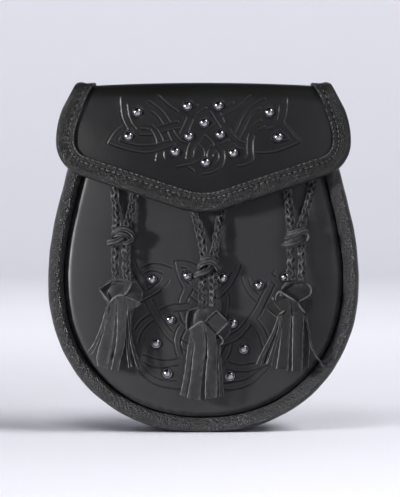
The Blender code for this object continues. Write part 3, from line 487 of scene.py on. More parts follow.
def thong_line(name, step):
    end = HEAD_TOPS[name.split("_")[1]] + 0.0012
    route = []
    for across, down, off in THONG_ROUTES[name]:
        x, z = across * BODY_HALF_WIDTH, THONG_TOP + (end - THONG_TOP) * down
        route.append((x, float(panel_y(x, z)) - off * THONG_DIAMETER, z))
    return smooth_line(route, step)


# %% Braid three strands along each route
STRAND_WIDTH, STRAND_THICKNESS, BRAID_PITCH = 0.0024, 0.00062, 0.0142
BRAID_SWING, BRAID_RISE = 0.00128, 0.00060
SECTION = [(-1.0, -0.7), (-1.0, 0.7), (-0.9, 1.0), (-0.3, 0.72), (0.3, 0.72), (0.9, 1.0), (1.0, 0.7), (1.0, -0.7), (0.9, -1.0), (0.0, -0.9), (-0.9, -1.0)]
SECTION_EDGES = (0, 1, 5, 6)


def flat_rings(line, width, thickness, outwards):
    """Rings of a flat strand that follows a line, its broad side turned outwards."""
    along = directions(line)
    side = np.cross(along, outwards)
    side /= np.linalg.norm(side, axis=1, keepdims=True)
    up = np.cross(side, along)
    width, thickness = np.broadcast_to(width, len(line)), np.broadcast_to(thickness, len(line))
    rings = [line + side * (u * width / 2)[:, None] + up * (v * thickness / 2)[:, None] for u, v in SECTION]
    return np.stack(rings, axis=1)


def braid(line, seed):
    chance = np.random.default_rng(seed)
    along = directions(line)
    side = np.cross(along, (0.0, -1.0, 0.0))
    side /= np.linalg.norm(side, axis=1, keepdims=True)
    out = np.cross(side, along)
    walked = np.concatenate([[0.0], np.cumsum(np.linalg.norm(np.diff(line, axis=0), axis=1))])

    def wave(length, strength):
        return strength * np.sin(walked / length + chance.uniform(0, 6))

    slack = wave(0.013, 0.5) + wave(0.0061, 0.3)
    strands = []
    for k in range(3):
        phase = 2 * np.pi * (walked / BRAID_PITCH + k / 3) + slack + wave(0.0045, 0.16)
        swing = BRAID_SWING * (1 + wave(0.0052, 0.22) + wave(0.0019, 0.10))
        middle = line + side * (swing * np.sin(phase))[:, None] + out * (BRAID_RISE * np.sin(2 * phase) + wave(0.003, 0.0001))[:, None]
        tilt = out + side * (0.45 * np.cos(phase) + wave(0.0031, 0.25) + wave(0.0013, 0.15))[:, None]
        strands.append(flat_rings(middle, STRAND_WIDTH * (1 + wave(0.0028, 0.16)), STRAND_THICKNESS * (1 + wave(0.0016, 0.2)), tilt))
    for place in np.arange(0.004, walked[-1] - 0.006, 0.0058):
        i = int(np.argmin(np.abs(walked - place - chance.uniform(0, 0.003))))
        hand = chance.choice((-1, 1))
        t = np.linspace(0, 1, 9)[:, None]
        reach = chance.uniform(0.0008, 0.0016)
        sliver = line[i] + side[i] * hand * (0.0012 + reach * t) + out[i] * (0.0006 + 0.0008 * t * (1 - t)) + along[i] * chance.uniform(0.0012, 0.0026) * chance.choice((-1, 1)) * t**1.5
        strands.append(flat_rings(sliver, 0.0008 * (1 - 0.75 * t[:, 0]), 0.00035, out[i] + 0.4 * hand * side[i]))
    return strands


thongs = {}
for number, name in enumerate(THONG_ROUTES):
    thongs[name] = tube_piece(name + "_braid", braid(thong_line(name, 0.0005), number), edge_sides=SECTION_EDGES)
    finish_piece(thongs[name], [thong_leather, thong_edge], [name])

# %% [markdown]
# ## The knots
# Half way down, each pair of cords is tied in one overhand knot, whose turns look like flattened bands with a fold
# along them. Each turn is swept along points read from the photograph: across and up from the knot's middle and
# forward of the cords, in millimetres. Each band is two strands side by side, which gives the fold.

# %% Turns of the three knots
KNOT_MIDDLES = {"left": (-0.0473, 0.1120), "centre": (0.0031, 0.0975), "right": (0.0530, 0.1120)}
KNOT_TURNS = {
    "left": [
        (3.0, [(-4.6, -1.6, -1.5), (-5.2, 1.2, 0.8), (-4.0, 3.6, 2.6), (-0.8, 5.0, 3.7), (2.8, 4.9, 3.7), (5.8, 3.0, 2.9), (7.2, 0.4, 1.2), (6.6, -2.0, -1.2)]),
        (2.9, [(-4.4, 1.0, 1.4), (-2.0, 2.3, 3.0), (1.2, 2.2, 3.5), (4.2, 0.6, 2.8), (5.8, -1.8, 1.0)]),
        (3.6, [(-8.0, -3.6, 2.6), (-5.2, -3.1, 3.4), (-2.2, -2.4, 3.6), (0.6, -0.6, 3.0), (2.6, 1.2, 1.6)]),
        (2.4, [(1.2, -3.6, 2.4), (3.8, -3.0, 2.8), (5.8, -1.4, 2.0), (6.8, 0.2, 0.6)]),
    ],
    "centre": [
        (3.4, [(-6.2, -3.4, 0.4), (-5.0, -0.8, 2.4), (-2.0, 0.8, 3.6), (1.4, 1.2, 3.8), (4.0, -0.6, 3.4), (5.8, -3.4, 2.4), (6.8, -1.6, 0.6)]),
        (2.6, [(-3.4, 2.4, 1.4), (-0.4, 2.9, 2.8), (2.8, 1.8, 2.8), (5.2, 0.2, 1.2)]),
        (3.8, [(-8.2, -8.6, 2.6), (-6.0, -6.8, 3.4), (-3.0, -5.8, 3.7), (0.0, -4.4, 3.2), (2.4, -1.8, 1.8)]),
    ],
    "right": [
        (3.2, [(-6.0, -1.0, 0.6), (-3.0, 0.0, 2.8), (0.0, 1.4, 3.6), (3.0, 3.6, 3.8), (6.2, 3.6, 3.0), (7.8, 1.2, 2.0), (6.6, -1.6, 0.4)]),
        (2.6, [(-4.6, 3.0, 1.0), (-2.0, 3.2, 2.4), (1.6, 4.6, 2.6), (4.8, 5.0, 1.6)]),
        (3.6, [(-6.6, -4.2, 2.2), (-3.6, -3.9, 3.3), (-0.6, -3.2, 3.7), (2.4, -1.8, 3.2), (4.6, 0.2, 1.6)]),
        (1.4, [(-8.0, -4.7, 2.0), (-6.6, -4.1, 2.4), (-5.0, -4.6, 2.4)]),
    ],
}


def tied_knot(side):
    x0, z0 = KNOT_MIDDLES[side]
    lines = [thong_line(f"thong_{side}_{which}", 0.001) for which in "ab"]
    y0 = np.mean([np.interp(-z0, -line[:, 2], line[:, 1]) for line in lines])
    tubes = []
    for width, turns in KNOT_TURNS[side]:
        line = smooth_line([(x0 + MM * x, y0 - MM * forward, z0 + MM * z) for x, z, forward in turns], 0.0005)
        away = line - (x0, y0, z0)
        away[:, 2] *= 0.45
        away /= np.linalg.norm(away, axis=1, keepdims=True)
        across = np.cross(directions(line), away)
        across /= np.linalg.norm(across, axis=1, keepdims=True)
        share = np.linspace(0, 1, len(line))
        taper = 0.75 + 0.25 * np.minimum(1.0, 6 * np.minimum(share, 1 - share) + 0.4)
        for half in (-1, 1):
            strand = line + across * (half * 0.25 * MM * width * taper)[:, None]
            tubes.append(flat_rings(strand, MM * width * 0.58 * taper, 0.00115 * taper, away + across * 0.4 * half))
    obj = tube_piece(f"knot_{side}_tied", tubes, edge_sides=SECTION_EDGES)
    return finish_piece(obj, [thong_leather, thong_edge], [f"knot_{side}"])


knots = {side: tied_knot(side) for side in KNOT_MIDDLES}

# %% [markdown]
# ## A sheet of cut leather
# The front, the flap and the back are cut from sheets. Each starts flat: a fine grid is laid out, the cells outside
# the pattern are deleted, and its border is drawn onto the pattern's line. The border is extruded to the sheet's
# back, and a coarse grid closes it there, because nobody sees pressed detail on the inside. The flat sheet is then
# bent to its place. A grid that is fine only where the pressed pattern lies keeps the count of faces low.

# %% Helpers for sheets
def inside(points, outline):
    """Whether each point lies inside a closed outline."""
    x, y = points[:, 0], points[:, 1]
    result = np.zeros(len(points), bool)
    for (ax, ay), (bx, by) in zip(outline, np.roll(outline, -1, axis=0)):
        if ay != by:
            crossing = (ay > y) != (by > y)
            result ^= crossing & (x < (bx - ax) * (y - ay) / (by - ay) + ax)
    return result


def nearest_on(points, outline):
    """The nearest point of a closed outline to each point."""
    best, found = np.full(len(points), np.inf), points.copy()
    for a, b in zip(outline, np.roll(outline, -1, axis=0)):
        run = b - a
        t = np.clip(((points - a) @ run) / max(run @ run, 1e-18), 0, 1)
        place = a + t[:, None] * run
        gap = ((points - place) ** 2).sum(axis=1)
        closer = gap < best
        best[closer], found[closer] = gap[closer], place[closer]
    return found, np.sqrt(best)


def spaced(low, high, fine_low, fine_high, fine, coarse):
    """Grid lines from low to high, fine between two of them and coarse outside."""
    parts = [np.linspace(low, fine_low, max(2, round((fine_low - low) / coarse)) + 1)[:-1]]
    parts.append(np.linspace(fine_low, fine_high, round((fine_high - fine_low) / fine) + 1))
    parts.append(np.linspace(fine_high, high, max(2, round((high - fine_high) / coarse)) + 1)[1:])
    return np.concatenate(parts)


def cut_grid(name, xs, ys, outline, margin, height):
    """A flat grid of the given lines, cut to an outline; with no margin its border is drawn onto the outline."""
    deselect()
    bpy.ops.mesh.primitive_grid_add(x_subdivisions=len(xs) - 1, y_subdivisions=len(ys) - 1, size=2.0)
    obj = bpy.context.object
    obj.name = name
    mesh = obj.data
    co = np.empty(len(mesh.vertices) * 3)
    mesh.vertices.foreach_get("co", co)
    co = co.reshape(-1, 3)
    column = np.rint((co[:, 0] + 1) / 2 * (len(xs) - 1)).astype(int)
    row = np.rint((co[:, 1] + 1) / 2 * (len(ys) - 1)).astype(int)
    co = np.stack([xs[column], ys[row], np.full(len(co), height)], axis=1)
    mesh.vertices.foreach_set("co", co.reshape(-1))
    corners = np.empty(len(mesh.polygons) * 4, int)
    mesh.polygons.foreach_get("vertices", corners)
    corners = corners.reshape(-1, 4)
    middles = co[corners, :2].mean(axis=1)
    keep = inside(middles, outline)
    _, gap = nearest_on(middles[keep], outline)
    keep[np.flatnonzero(keep)[gap < max(margin, 0.00012)]] = False
    bpy.context.tool_settings.mesh_select_mode = (False, False, True)
    mesh.polygons.foreach_set("select", ~keep)
    bpy.ops.object.mode_set(mode="EDIT")
    bpy.ops.mesh.delete(type="FACE")
    bpy.ops.mesh.select_mode(type="VERT")
    bpy.ops.mesh.select_all(action="SELECT")
    bpy.ops.mesh.region_to_loop()
    bpy.ops.object.mode_set(mode="OBJECT")
    if not margin:
        co = np.empty(len(mesh.vertices) * 3)
        mesh.vertices.foreach_get("co", co)
        co = co.reshape(-1, 3)
        border = np.empty(len(mesh.vertices), bool)
        mesh.vertices.foreach_get("select", border)
        co[border, :2] = nearest_on(co[border, :2], outline)[0]
        mesh.vertices.foreach_set("co", co.reshape(-1))
        mesh.update()
    return obj


def cut_sheet(name, xs, ys, outline, thickness, back_step=0.0028):
    """A flat sheet of leather: the fine face at height 0, the coarse back below it."""
    low, high = outline.min(axis=0), outline.max(axis=0)
    face = cut_grid(name, xs, ys, outline, 0.0, 0.0)
    bpy.ops.object.mode_set(mode="EDIT")
    bpy.ops.mesh.select_mode(type="EDGE")
    bpy.ops.mesh.select_all(action="SELECT")
    bpy.ops.mesh.region_to_loop()
    bpy.ops.mesh.extrude_edges_move(TRANSFORM_OT_translate={"value": (0, 0, -thickness)})
    bpy.ops.object.mode_set(mode="OBJECT")
    coarse_xs = np.linspace(low[0], high[0], round((high[0] - low[0]) / back_step) + 1)
    coarse_ys = np.linspace(low[1], high[1], round((high[1] - low[1]) / back_step) + 1)
    reverse = cut_grid(name + "_back", coarse_xs, coarse_ys, outline, 0.9 * back_step, -thickness)
    reverse.data.flip_normals()
    pick(face)
    reverse.select_set(True)
    bpy.ops.object.join()
    bpy.ops.object.mode_set(mode="EDIT")
    bpy.ops.mesh.select_mode(type="EDGE")
    bpy.ops.mesh.select_all(action="DESELECT")
    bpy.ops.mesh.select_non_manifold(extend=False, use_wire=False, use_boundary=True, use_multi_face=False, use_non_contiguous=False, use_verts=False)
    bpy.ops.mesh.fill(use_beauty=True)
    bpy.ops.object.mode_set(mode="OBJECT")
    return face


def bend(obj, place):
    """Moves every vertex of a flat sheet to its place in space."""
    co = np.empty(len(obj.data.vertices) * 3)
    obj.data.vertices.foreach_get("co", co)
    co = co.reshape(-1, 3)
    obj.data.vertices.foreach_set("co", place(co[:, 0], co[:, 1], co[:, 2]).reshape(-1))
    obj.data.update()
    face_outwards(obj)


# %% [markdown]
# ## The tassels' woven heads
# Each head is woven from flat strips that fold over one another like the sides of a box knot, so it shows a few
# leather plates, some of them hollow, with pale cut edges. A core fills it, and its upper part takes the thong leather
# as painted shade in the hollow. Each plate is drawn by its corners in the photograph, each with how far it stands
# off the panel, cut from a fine grid and given its thickness. The cut edges that catch the light are swept along the
# plates' borders.

# %% Cores, plates and cut edges of the heads: (px, py, millimetres off the panel)
HEADS = {"left": (-0.524, 0.30), "centre": (0.022, 0.37), "right": (0.580, 0.34)}
HEAD_SECTIONS = [(0.0, 0.42, 0.15), (0.16, 0.60, 0.20), (0.45, 0.72, 0.32), (0.75, 0.70, 0.60), (1.05, 0.60, 0.60), (1.5, 0.45, 0.5)]
PLATES = {
    "left": [
        (0.7, [(130.6, 282.6, 11.6), (136, 280.6, 9.4), (140, 285, 8.0), (142.8, 290, 7.4), (143, 295, 7.8), (141, 301, 9.0), (136, 301, 10.6), (129, 298, 11.4), (123.5, 294, 11.8)]),
        (-2.4, [(100.3, 289, 10.4), (105, 285, 9.4), (111, 281, 8.8), (121, 279.8, 9.0), (131.3, 282.6, 9.8), (128.5, 288.5, 10.4), (124.5, 294.6, 11.0), (119, 297.5, 11.0), (110, 302, 11.4)]),
    ],
    "centre": [
        (-2.2, [(187.5, 329, 8.6), (186.8, 318, 8.0), (188.6, 311, 8.0), (197, 308.3, 8.2), (207.5, 308.3, 8.4), (207, 318, 8.6), (201, 326, 9.4)]),
        (0.3, [(217.3, 331.5, 10.8), (224, 325, 10.2), (228.8, 321.5, 9.0), (231, 326, 8.2), (230, 333, 8.2), (224.5, 338.5, 9.0), (219, 337.5, 10.2)]),
        (0.35, [(204.4, 321.5, 11.9), (208, 317, 11.2), (211.5, 313.3, 10.6), (216.5, 309.6, 9.8), (222, 315, 10.2), (227.6, 321, 10.4), (222, 327, 11.4), (216.6, 332.3, 12.0), (210, 327.5, 12.0)]),
    ],
    "right": [
        (0.2, [(272.3, 299.6, 9.4), (269, 300.5, 8.4), (265.3, 307.4, 8.2), (272, 313, 8.6), (278.4, 318, 9.4), (281.5, 312, 10.0), (278.5, 304, 10.0)]),
        (0.5, [(297.5, 300.6, 11.6), (303, 298.3, 10.8), (308.6, 296.2, 9.6), (312.6, 301, 8.4), (312.8, 306.5, 8.4), (309.4, 312.5, 9.2), (304.6, 313.5, 10.2), (301, 307, 11.4)]),
        (-1.8, [(281.5, 291.5, 10.8), (286, 286, 9.6), (293, 282.8, 9.0), (303, 281.9, 9.0), (308.3, 284.3, 9.4), (310.4, 289, 9.8), (309.6, 293.4, 10.2), (306.9, 296, 10.8), (297.3, 301, 11.4), (288, 297.5, 11.4)]),
    ],
}
CUT_EDGES = {
    "left": [
        (0.95, [(110.2, 301.6, 12.6), (113, 298.2, 13.0), (117, 295.4, 13.2), (121, 294.2, 13.2), (124.6, 295.2, 13.2)]),
        (0.55, [(124.6, 295.2, 13.0), (130, 297.2, 12.6), (136, 299.8, 11.6), (140.6, 302.2, 10.4), (139.8, 304.6, 10.2), (137.6, 305.4, 10.4)]),
        (0.65, [(131.3, 283, 11.9), (129.8, 287, 12.1), (127.2, 291.2, 12.3), (124.8, 294.4, 12.4)]),
        (0.6, [(100.2, 289.2, 11.2), (104.6, 295.2, 11.8), (109.6, 301.4, 12.4)]),
        (0.35, [(100.6, 288.2, 10.6), (106, 284.2, 10.0), (112, 281, 9.8)]),
    ],
    "centre": [
        (0.95, [(189.2, 328.0, 12.0), (193.8, 325.0, 12.6), (198, 321.9, 12.9), (201.6, 320.4, 13.0), (204, 321.2, 13.0)]),
        (0.4, [(204, 321.4, 12.9), (210, 327.6, 12.8), (216, 333.4, 12.4)]),
        (0.75, [(216.4, 333.0, 12.5), (220, 329.6, 12.2), (224, 325.4, 11.6), (228, 321.3, 10.8)]),
        (0.45, [(204.8, 320.4, 12.2), (208, 316.6, 11.6), (212.4, 312.6, 11.0), (216.4, 309.8, 10.4)]),
        (0.35, [(216.6, 309.6, 10.2), (222, 315, 10.6), (226.8, 319.6, 10.8)]),
        (0.8, [(218.6, 333.8, 12.0), (221.2, 336.6, 11.8), (222.8, 339.6, 11.2), (222.2, 342.2, 10.8), (220.2, 343.2, 10.6)]),
        (0.5, [(187.0, 328, 9.6), (186.4, 322, 9.6), (186.8, 316, 9.4), (188.4, 311.4, 9.0)]),
    ],
    "right": [
        (0.85, [(274.9, 299.6, 10.8), (275.4, 295.6, 11.2), (277.2, 292.2, 11.6), (279.6, 291, 12.0), (283, 292.9, 12.4), (289.6, 297.0, 12.8), (296.4, 301.0, 12.8)]),
        (0.6, [(306, 283.2, 9.8), (309.4, 285.6, 10.0), (310.9, 289.6, 10.4), (310, 293.6, 10.8), (307.6, 295.9, 11.4), (303, 298.2, 12.0), (298.2, 300.6, 12.4)]),
        (0.8, [(297.6, 302.0, 12.6), (300, 306.6, 12.4), (304.8, 312.2, 11.4)]),
        (0.3, [(265.2, 307.6, 8.8), (272, 313.2, 9.2), (278.6, 318.4, 9.8)]),
        (0.3, [(272.4, 300.4, 9.8), (276, 304.6, 10.2), (280.6, 310.2, 10.6)]),
        (0.9, [(272.2, 296.4, 10.2), (272.4, 298.4, 10.2), (273, 300.0, 10.0)]),
        (0.7, [(278.6, 313.0, 12.4), (281.4, 311.4, 12.8), (284.2, 309.4, 13.0)]),
    ],
}


def off_panel(points):
    """Places in space of rows (px, py, millimetres off the panel)."""
    points = np.asarray(points, float)
    x, z = from_photo(points[:, 0], points[:, 1])
    return np.stack([x, panel_y(x, z) - MM * points[:, 2], z], axis=1)


def head_core(side):
    across, height = HEADS[side]
    x0, top, tall = across * BODY_HALF_WIDTH, HEAD_TOPS[side], height * 0.0515
    angle = np.linspace(0, 2 * np.pi, 28, endpoint=False)
    rings = []
    for down, wide, deep in HEAD_SECTIONS:
        z = top - tall * down
        y = float(panel_y(x0, z)) - 1.40 * THONG_DIAMETER
        ring = [x0 + 0.0121 * wide * np.cos(angle), y + 0.0056 * deep * np.sin(angle), np.full(28, z)]
        rings.append(np.stack(ring, axis=1))
    core = tube_piece("head_core_" + side, [rings])
    for finish in (strip_leathers_painted_light_and_shade[side], cut_edge, thong_leather):
        core.data.materials.append(finish)
    # Painted shade: the core's upper part takes the thong leather, to darken the hollow at the head's top.
    for face in core.data.polygons:
        face.material_index = 2 if face.center.z > top - 0.6 * tall else 0
    return core


def plate(side, number, bulge, corners):
    """A leather plate: cut to its corners from a fine grid, bulged or hollowed, and given a wall."""
    drawn = off_panel(corners)
    outline = smooth_line(drawn[:, [0, 2]], 0.0004, closed=True)[:-1]
    low, high = outline.min(axis=0), outline.max(axis=0)
    lines = [np.linspace(a, b, round((b - a) / 0.0006) + 1) for a, b in zip(low, high)]
    obj = cut_grid(f"plate_{side}_{number}", *lines, outline, 0.0, 0.0)
    mesh = obj.data
    co = np.empty(len(mesh.vertices) * 3)
    mesh.vertices.foreach_get("co", co)
    places = co.reshape(-1, 3)[:, :2].copy()
    away = ((places[:, None, :] - drawn[None, :, [0, 2]]) ** 2).sum(axis=2) + 1e-8
    weight = away**-1.5
    depth = (weight * drawn[:, 1]).sum(axis=1) / weight.sum(axis=1)
    _, gap = nearest_on(places, outline)
    depth -= MM * bulge * (1 - np.exp(-gap / 0.0016))
    mesh.vertices.foreach_set("co", np.stack([places[:, 0], depth, places[:, 1]], axis=1).reshape(-1))
    mesh.update()
    if sum(p.normal.y * p.area for p in mesh.polygons) > 0:
        mesh.flip_normals()
    wall = obj.modifiers.new("wall", "SOLIDIFY")
    wall.thickness, wall.offset = 0.0010, -1.0
    for finish in (strip_leathers_painted_light_and_shade[side], cut_edge):
        mesh.materials.append(finish)
    apply_modifiers(obj)
    return obj


def edge_rings(width, points):
    line = smooth_line(off_panel(points), 0.0005)
    share = np.linspace(0, 1, len(line))
    taper = 0.45 + 0.55 * np.minimum(1.0, 5 * np.minimum(share, 1 - share))
    wander = 1 + 0.12 * np.sin(share * 23 + width * 9)
    return flat_rings(line, MM * width * taper * wander, MM * 0.8 * taper, np.tile((0.0, -1.0, 0.25), (len(line), 1)))


# %% [markdown]
# ## The fringes
# The outer strips start at the head's front edge, so the band round the head and the fringe are the same leather,
# as on the real tassel. They hang in front of the panel and twist a little. Each strip is a row of stations read from
# the photograph: its left and its right edge in pixels, and how far each edge stands off the panel in millimetres.

# %% Strips of the three fringes: (left px, left py, right px, right py, off left, off right)
STRIPS = {
    "left": [
        [(126, 312, 131.5, 312, 7.5, 7.0), (127.5, 335, 131.2, 335, 7.2, 6.6), (129.0, 350, 134.5, 350, 6.9, 6.2), (130.6, 366, 137.0, 367, 6.6, 5.8)],
        [(106, 306, 109.5, 306, 11.0, 12.4), (104.6, 313, 107.6, 313, 10.6, 11.6), (101.2, 325, 104.6, 325, 10.4, 11.4), (97.2, 335, 101.3, 335, 10.2, 11.2), (92.2, 345, 96.8, 346, 9.6, 10.6), (87.0, 351.5, 92.2, 354.5, 9.0, 10.0)],
        [(126.2, 330, 128.4, 330, 10.4, 9.2), (126.6, 345, 128.9, 345, 10.2, 9.0), (127.2, 355, 129.9, 355, 9.8, 8.6), (128.7, 366.5, 131.2, 367.5, 9.2, 8.2)],
        [(124.2, 294.8, 140.6, 302.2, 13.0, 10.4), (125.5, 300, 139.0, 305.6, 12.6, 10.4), (127.0, 306, 133.8, 308.6, 12.3, 11.0), (127.6, 313, 131.2, 313, 12.2, 10.8), (128.8, 325, 131.4, 325, 11.8, 9.6), (130.0, 338, 132.3, 338, 11.2, 9.2), (132.6, 352, 136.8, 352, 10.4, 8.6), (135.4, 362, 139.6, 362, 9.8, 8.0), (137.6, 368, 141.8, 369.5, 9.2, 7.6)],
        [(110.0, 301.8, 118.2, 294.8, 12.4, 13.2), (107.6, 305.6, 117.5, 302.5, 11.6, 12.8), (105.8, 311.5, 116.8, 311.5, 10.8, 12.2), (105.3, 320, 116.1, 320, 10.9, 12.4), (103.0, 332, 115.2, 332, 10.6, 12.2), (98.6, 345, 113.9, 345, 10.0, 11.6), (96.0, 356, 111.6, 357, 9.4, 11.0), (96.8, 365.2, 109.4, 367.6, 8.9, 10.4)],
        [(117.8, 295.0, 124.9, 295.2, 13.1, 13.1), (117.3, 302.5, 126.2, 302.5, 12.8, 12.6), (117.1, 311.5, 127.6, 311.5, 12.4, 11.6), (117.2, 325, 126.9, 325, 12.9, 11.4), (115.6, 345, 125.3, 345, 12.6, 11.0), (113.2, 357, 122.3, 357, 12.0, 10.4), (111.0, 368.2, 119.6, 370, 11.4, 9.8)],
    ],
    "centre": [
        [(190.2, 332, 196.0, 332, 10.2, 11.4), (188.6, 340, 194.0, 340, 9.4, 11.0), (186.4, 355, 191.6, 355, 8.2, 9.8), (184.4, 370, 189.9, 370, 7.4, 8.8), (181.8, 385, 187.4, 385, 6.6, 7.8), (179.8, 394, 185.8, 395.5, 6.0, 7.2)],
        [(216.2, 338, 220.4, 338, 10.0, 8.6), (217.6, 355, 221.0, 355, 9.2, 7.6), (219.4, 375, 222.6, 375, 8.0, 6.6), (221.0, 394, 223.9, 395, 6.8, 5.6)],
        [(217.0, 338, 219.4, 338, 11.2, 9.8), (218.0, 355, 219.9, 355, 10.6, 9.2), (218.6, 375, 220.7, 375, 9.6, 8.2), (219.3, 395, 221.6, 396, 8.2, 7.0)],
        [(203.6, 321.0, 216.6, 333.8, 12.9, 12.3), (205.0, 329, 216.0, 336.2, 13.2, 12.0), (206.6, 338, 216.9, 340.4, 12.4, 11.2), (207.0, 346, 217.5, 346, 12.6, 11.2), (206.8, 355, 217.7, 355, 12.7, 11.1), (205.4, 366, 217.8, 366, 12.2, 10.4), (204.6, 378, 217.9, 378, 11.4, 9.6), (204.2, 388, 218.1, 388, 10.8, 9.1), (204.4, 397.6, 217.4, 396.4, 10.2, 8.6)],
        [(189.4, 328.2, 204.2, 320.8, 11.8, 12.9), (190.6, 333.6, 205.3, 330, 11.7, 13.2), (192.8, 339.6, 206.2, 338.4, 11.2, 12.6), (194.0, 346, 206.3, 346, 10.9, 12.5), (192.6, 354, 205.6, 354, 10.7, 12.4), (191.4, 363, 204.4, 363, 10.4, 12.0), (190.0, 376, 202.6, 376, 9.6, 11.2), (187.8, 388, 201.9, 388, 8.7, 10.2), (186.2, 396.8, 201.4, 399.0, 8.1, 9.6)],
    ],
    "right": [
        [(303.0, 312, 306.6, 312, 8.0, 7.4), (303.6, 330, 308.6, 330, 7.4, 6.6), (303.0, 345, 310.2, 345, 6.8, 6.0), (302.6, 356, 309.6, 356, 6.6, 5.8), (301.8, 366.5, 308.8, 368, 6.6, 5.8)],
        [(279.6, 314, 281.4, 314, 9.2, 10.0), (274.6, 330, 277.2, 330, 9.0, 9.8), (268.9, 345, 271.4, 345, 8.6, 9.4), (265.3, 355, 268.0, 355, 8.2, 9.0), (262.6, 362, 266.2, 363, 7.8, 8.6)],
        [(278.2, 314, 280.6, 314, 9.8, 10.8), (272.3, 330, 275.3, 330, 10.2, 11.2), (264.4, 345, 268.8, 345, 9.8, 10.8), (259.2, 355, 263.6, 355, 9.2, 10.2), (255.3, 363, 260.8, 365, 8.6, 9.6)],
        [(279.6, 316, 281.8, 316, 10.4, 11.4), (277.0, 330, 279.8, 330, 10.4, 11.4), (272.2, 345, 276.4, 345, 10.0, 11.0), (268.8, 355, 273.4, 355, 9.6, 10.6), (265.9, 362.8, 272.0, 364.4, 9.2, 10.2)],
        [(303.4, 311, 305.2, 311, 9.0, 8.6), (305.0, 320, 306.9, 320, 9.2, 8.6), (307.4, 330, 309.3, 330, 9.4, 8.8), (309.0, 340, 310.9, 340, 9.4, 8.8), (310.6, 347, 312.7, 347, 9.2, 8.6), (314.2, 354, 316.4, 354, 8.8, 8.2), (318.8, 361, 321.0, 361, 8.4, 7.8), (322.8, 367, 324.8, 367, 8.0, 7.4)],
        [(288.6, 296.6, 297.0, 301.2, 12.7, 12.6), (290.4, 303, 301.0, 307.0, 12.9, 12.0), (291.6, 310, 304.2, 312.4, 12.2, 10.8), (291.8, 318, 303.9, 318, 12.5, 11.0), (291.4, 330, 303.6, 330, 12.6, 11.0), (291.0, 345, 303.1, 345, 12.2, 10.6), (290.9, 358, 302.9, 358, 11.6, 10.0), (290.8, 370, 302.5, 371, 11.0, 9.4)],
        [(275.2, 300.0, 288.9, 296.8, 10.8, 12.7), (277.6, 305, 290.3, 303, 11.0, 12.9), (280.2, 310.6, 291.1, 310, 11.0, 12.4), (280.8, 318, 291.0, 318, 10.9, 12.3), (280.0, 330, 290.3, 330, 10.8, 12.3), (278.3, 345, 289.4, 345, 10.4, 11.9), (276.6, 358, 288.8, 358, 9.8, 11.3), (275.0, 367.6, 288.6, 370, 9.2, 10.7)],
    ],
}
SLIT_TOPS = {"left": 311.0, "centre": 343.0, "right": 315.0}
STRIP_LEATHER = 0.0011
STRIP_CHAMFER = 0.00034
STRIP_SECTION = [(-1.0, -1.0), (-1.0, 0.35), (-0.97, 1.0), (-0.5, 1.05), (0.0, 1.06), (0.5, 1.05), (0.97, 1.0), (1.0, 0.35), (1.0, -1.0), (0.0, -1.0)]


def strip_rings(rows, seed):
    chance = np.random.default_rng(seed)
    rows = smooth_line(rows, 1.5)
    waves = chance.uniform(0, 6, 4)
    top = rows[:, 1].min()
    rings = []
    for lx, ly, rx, ry, a, b in rows:
        (x0, z0), (x1, z1) = from_photo(lx, ly), from_photo(rx, ry)
        y0, y1 = float(panel_y(x0, z0)) - MM * a, float(panel_y(x1, z1)) - MM * b
        free = min(1.0, max(0.0, (0.5 * (ly + ry) - top - 16) / 20))
        narrow = 0.06 * free * (x1 - x0)
        x0, x1 = x0 + narrow, x1 - narrow
        ring = []
        shoulder = 1 - min(0.45, 2 * STRIP_CHAMFER / math.hypot(x1 - x0, y1 - y0))
        for u, v in STRIP_SECTION:
            u = math.copysign(shoulder, u) if abs(u) == 0.97 else u
            share = (u + 1) / 2
            x, y, z = x0 + (x1 - x0) * share, y0 + (y1 - y0) * share, z0 + (z1 - z0) * share
            ripple = 0.00016 * math.sin(z / 0.0035 + waves[0] + u) + 0.00010 * math.sin(z / 0.0015 + waves[1] - 2 * u)
            curl = 0.00045 * free * (1 - u * u) * math.sin(z / 0.007 + waves[2])
            fray = 0.00010 * (abs(u) > 0.9) * math.sin(z / 0.0009 + waves[3])
            ring.append((x + fray, y - v * STRIP_LEATHER / 2 + ripple + curl, z))
        rings.append(ring)
    return rings


def woven_tassel(side):
    parts = [head_core(side)]
    parts += [plate(side, number, bulge, corners) for number, (bulge, corners) in enumerate(PLATES[side])]
    fringe = tube_piece("fringe_" + side, [strip_rings(rows, k) for k, rows in enumerate(STRIPS[side])], edge_sides=(0, 1, 6, 7))
    slit_top = from_photo(0.0, SLIT_TOPS[side])[1]
    for face in fringe.data.polygons:
        if face.center.z > slit_top:
            face.material_index = 0
    borders = tube_piece("borders_" + side, [edge_rings(width, points) for width, points in CUT_EDGES[side]])
    for part, finishes in ((fringe, (strip_leathers_painted_light_and_shade[side], cut_edge)), (borders, (cut_edge,))):
        for finish in finishes:
            part.data.materials.append(finish)
    pick(parts[0])
    for part in [*parts, fringe, borders]:
        part.select_set(True)
    bpy.ops.object.join()
    obj = bpy.context.object
    obj.name = f"tassel_{side}_woven"
    bpy.ops.object.transform_apply(location=True, rotation=True, scale=True)
    return finish_piece(obj, [], [f"tassel_{side}"], angle=35)


tassels = {side: woven_tassel(side) for side in HEADS}

# %% [markdown]
# ## The pressed knotwork
# The front and the flap carry traditional interlaced bands with pointed leaves, pressed into the leather with a
# blunt tool. Every pressed line is charted below as a few points in pixels of the photograph. Each line
# sinks the surface in a soft groove and lifts it a little beside the groove, as pressed leather does.

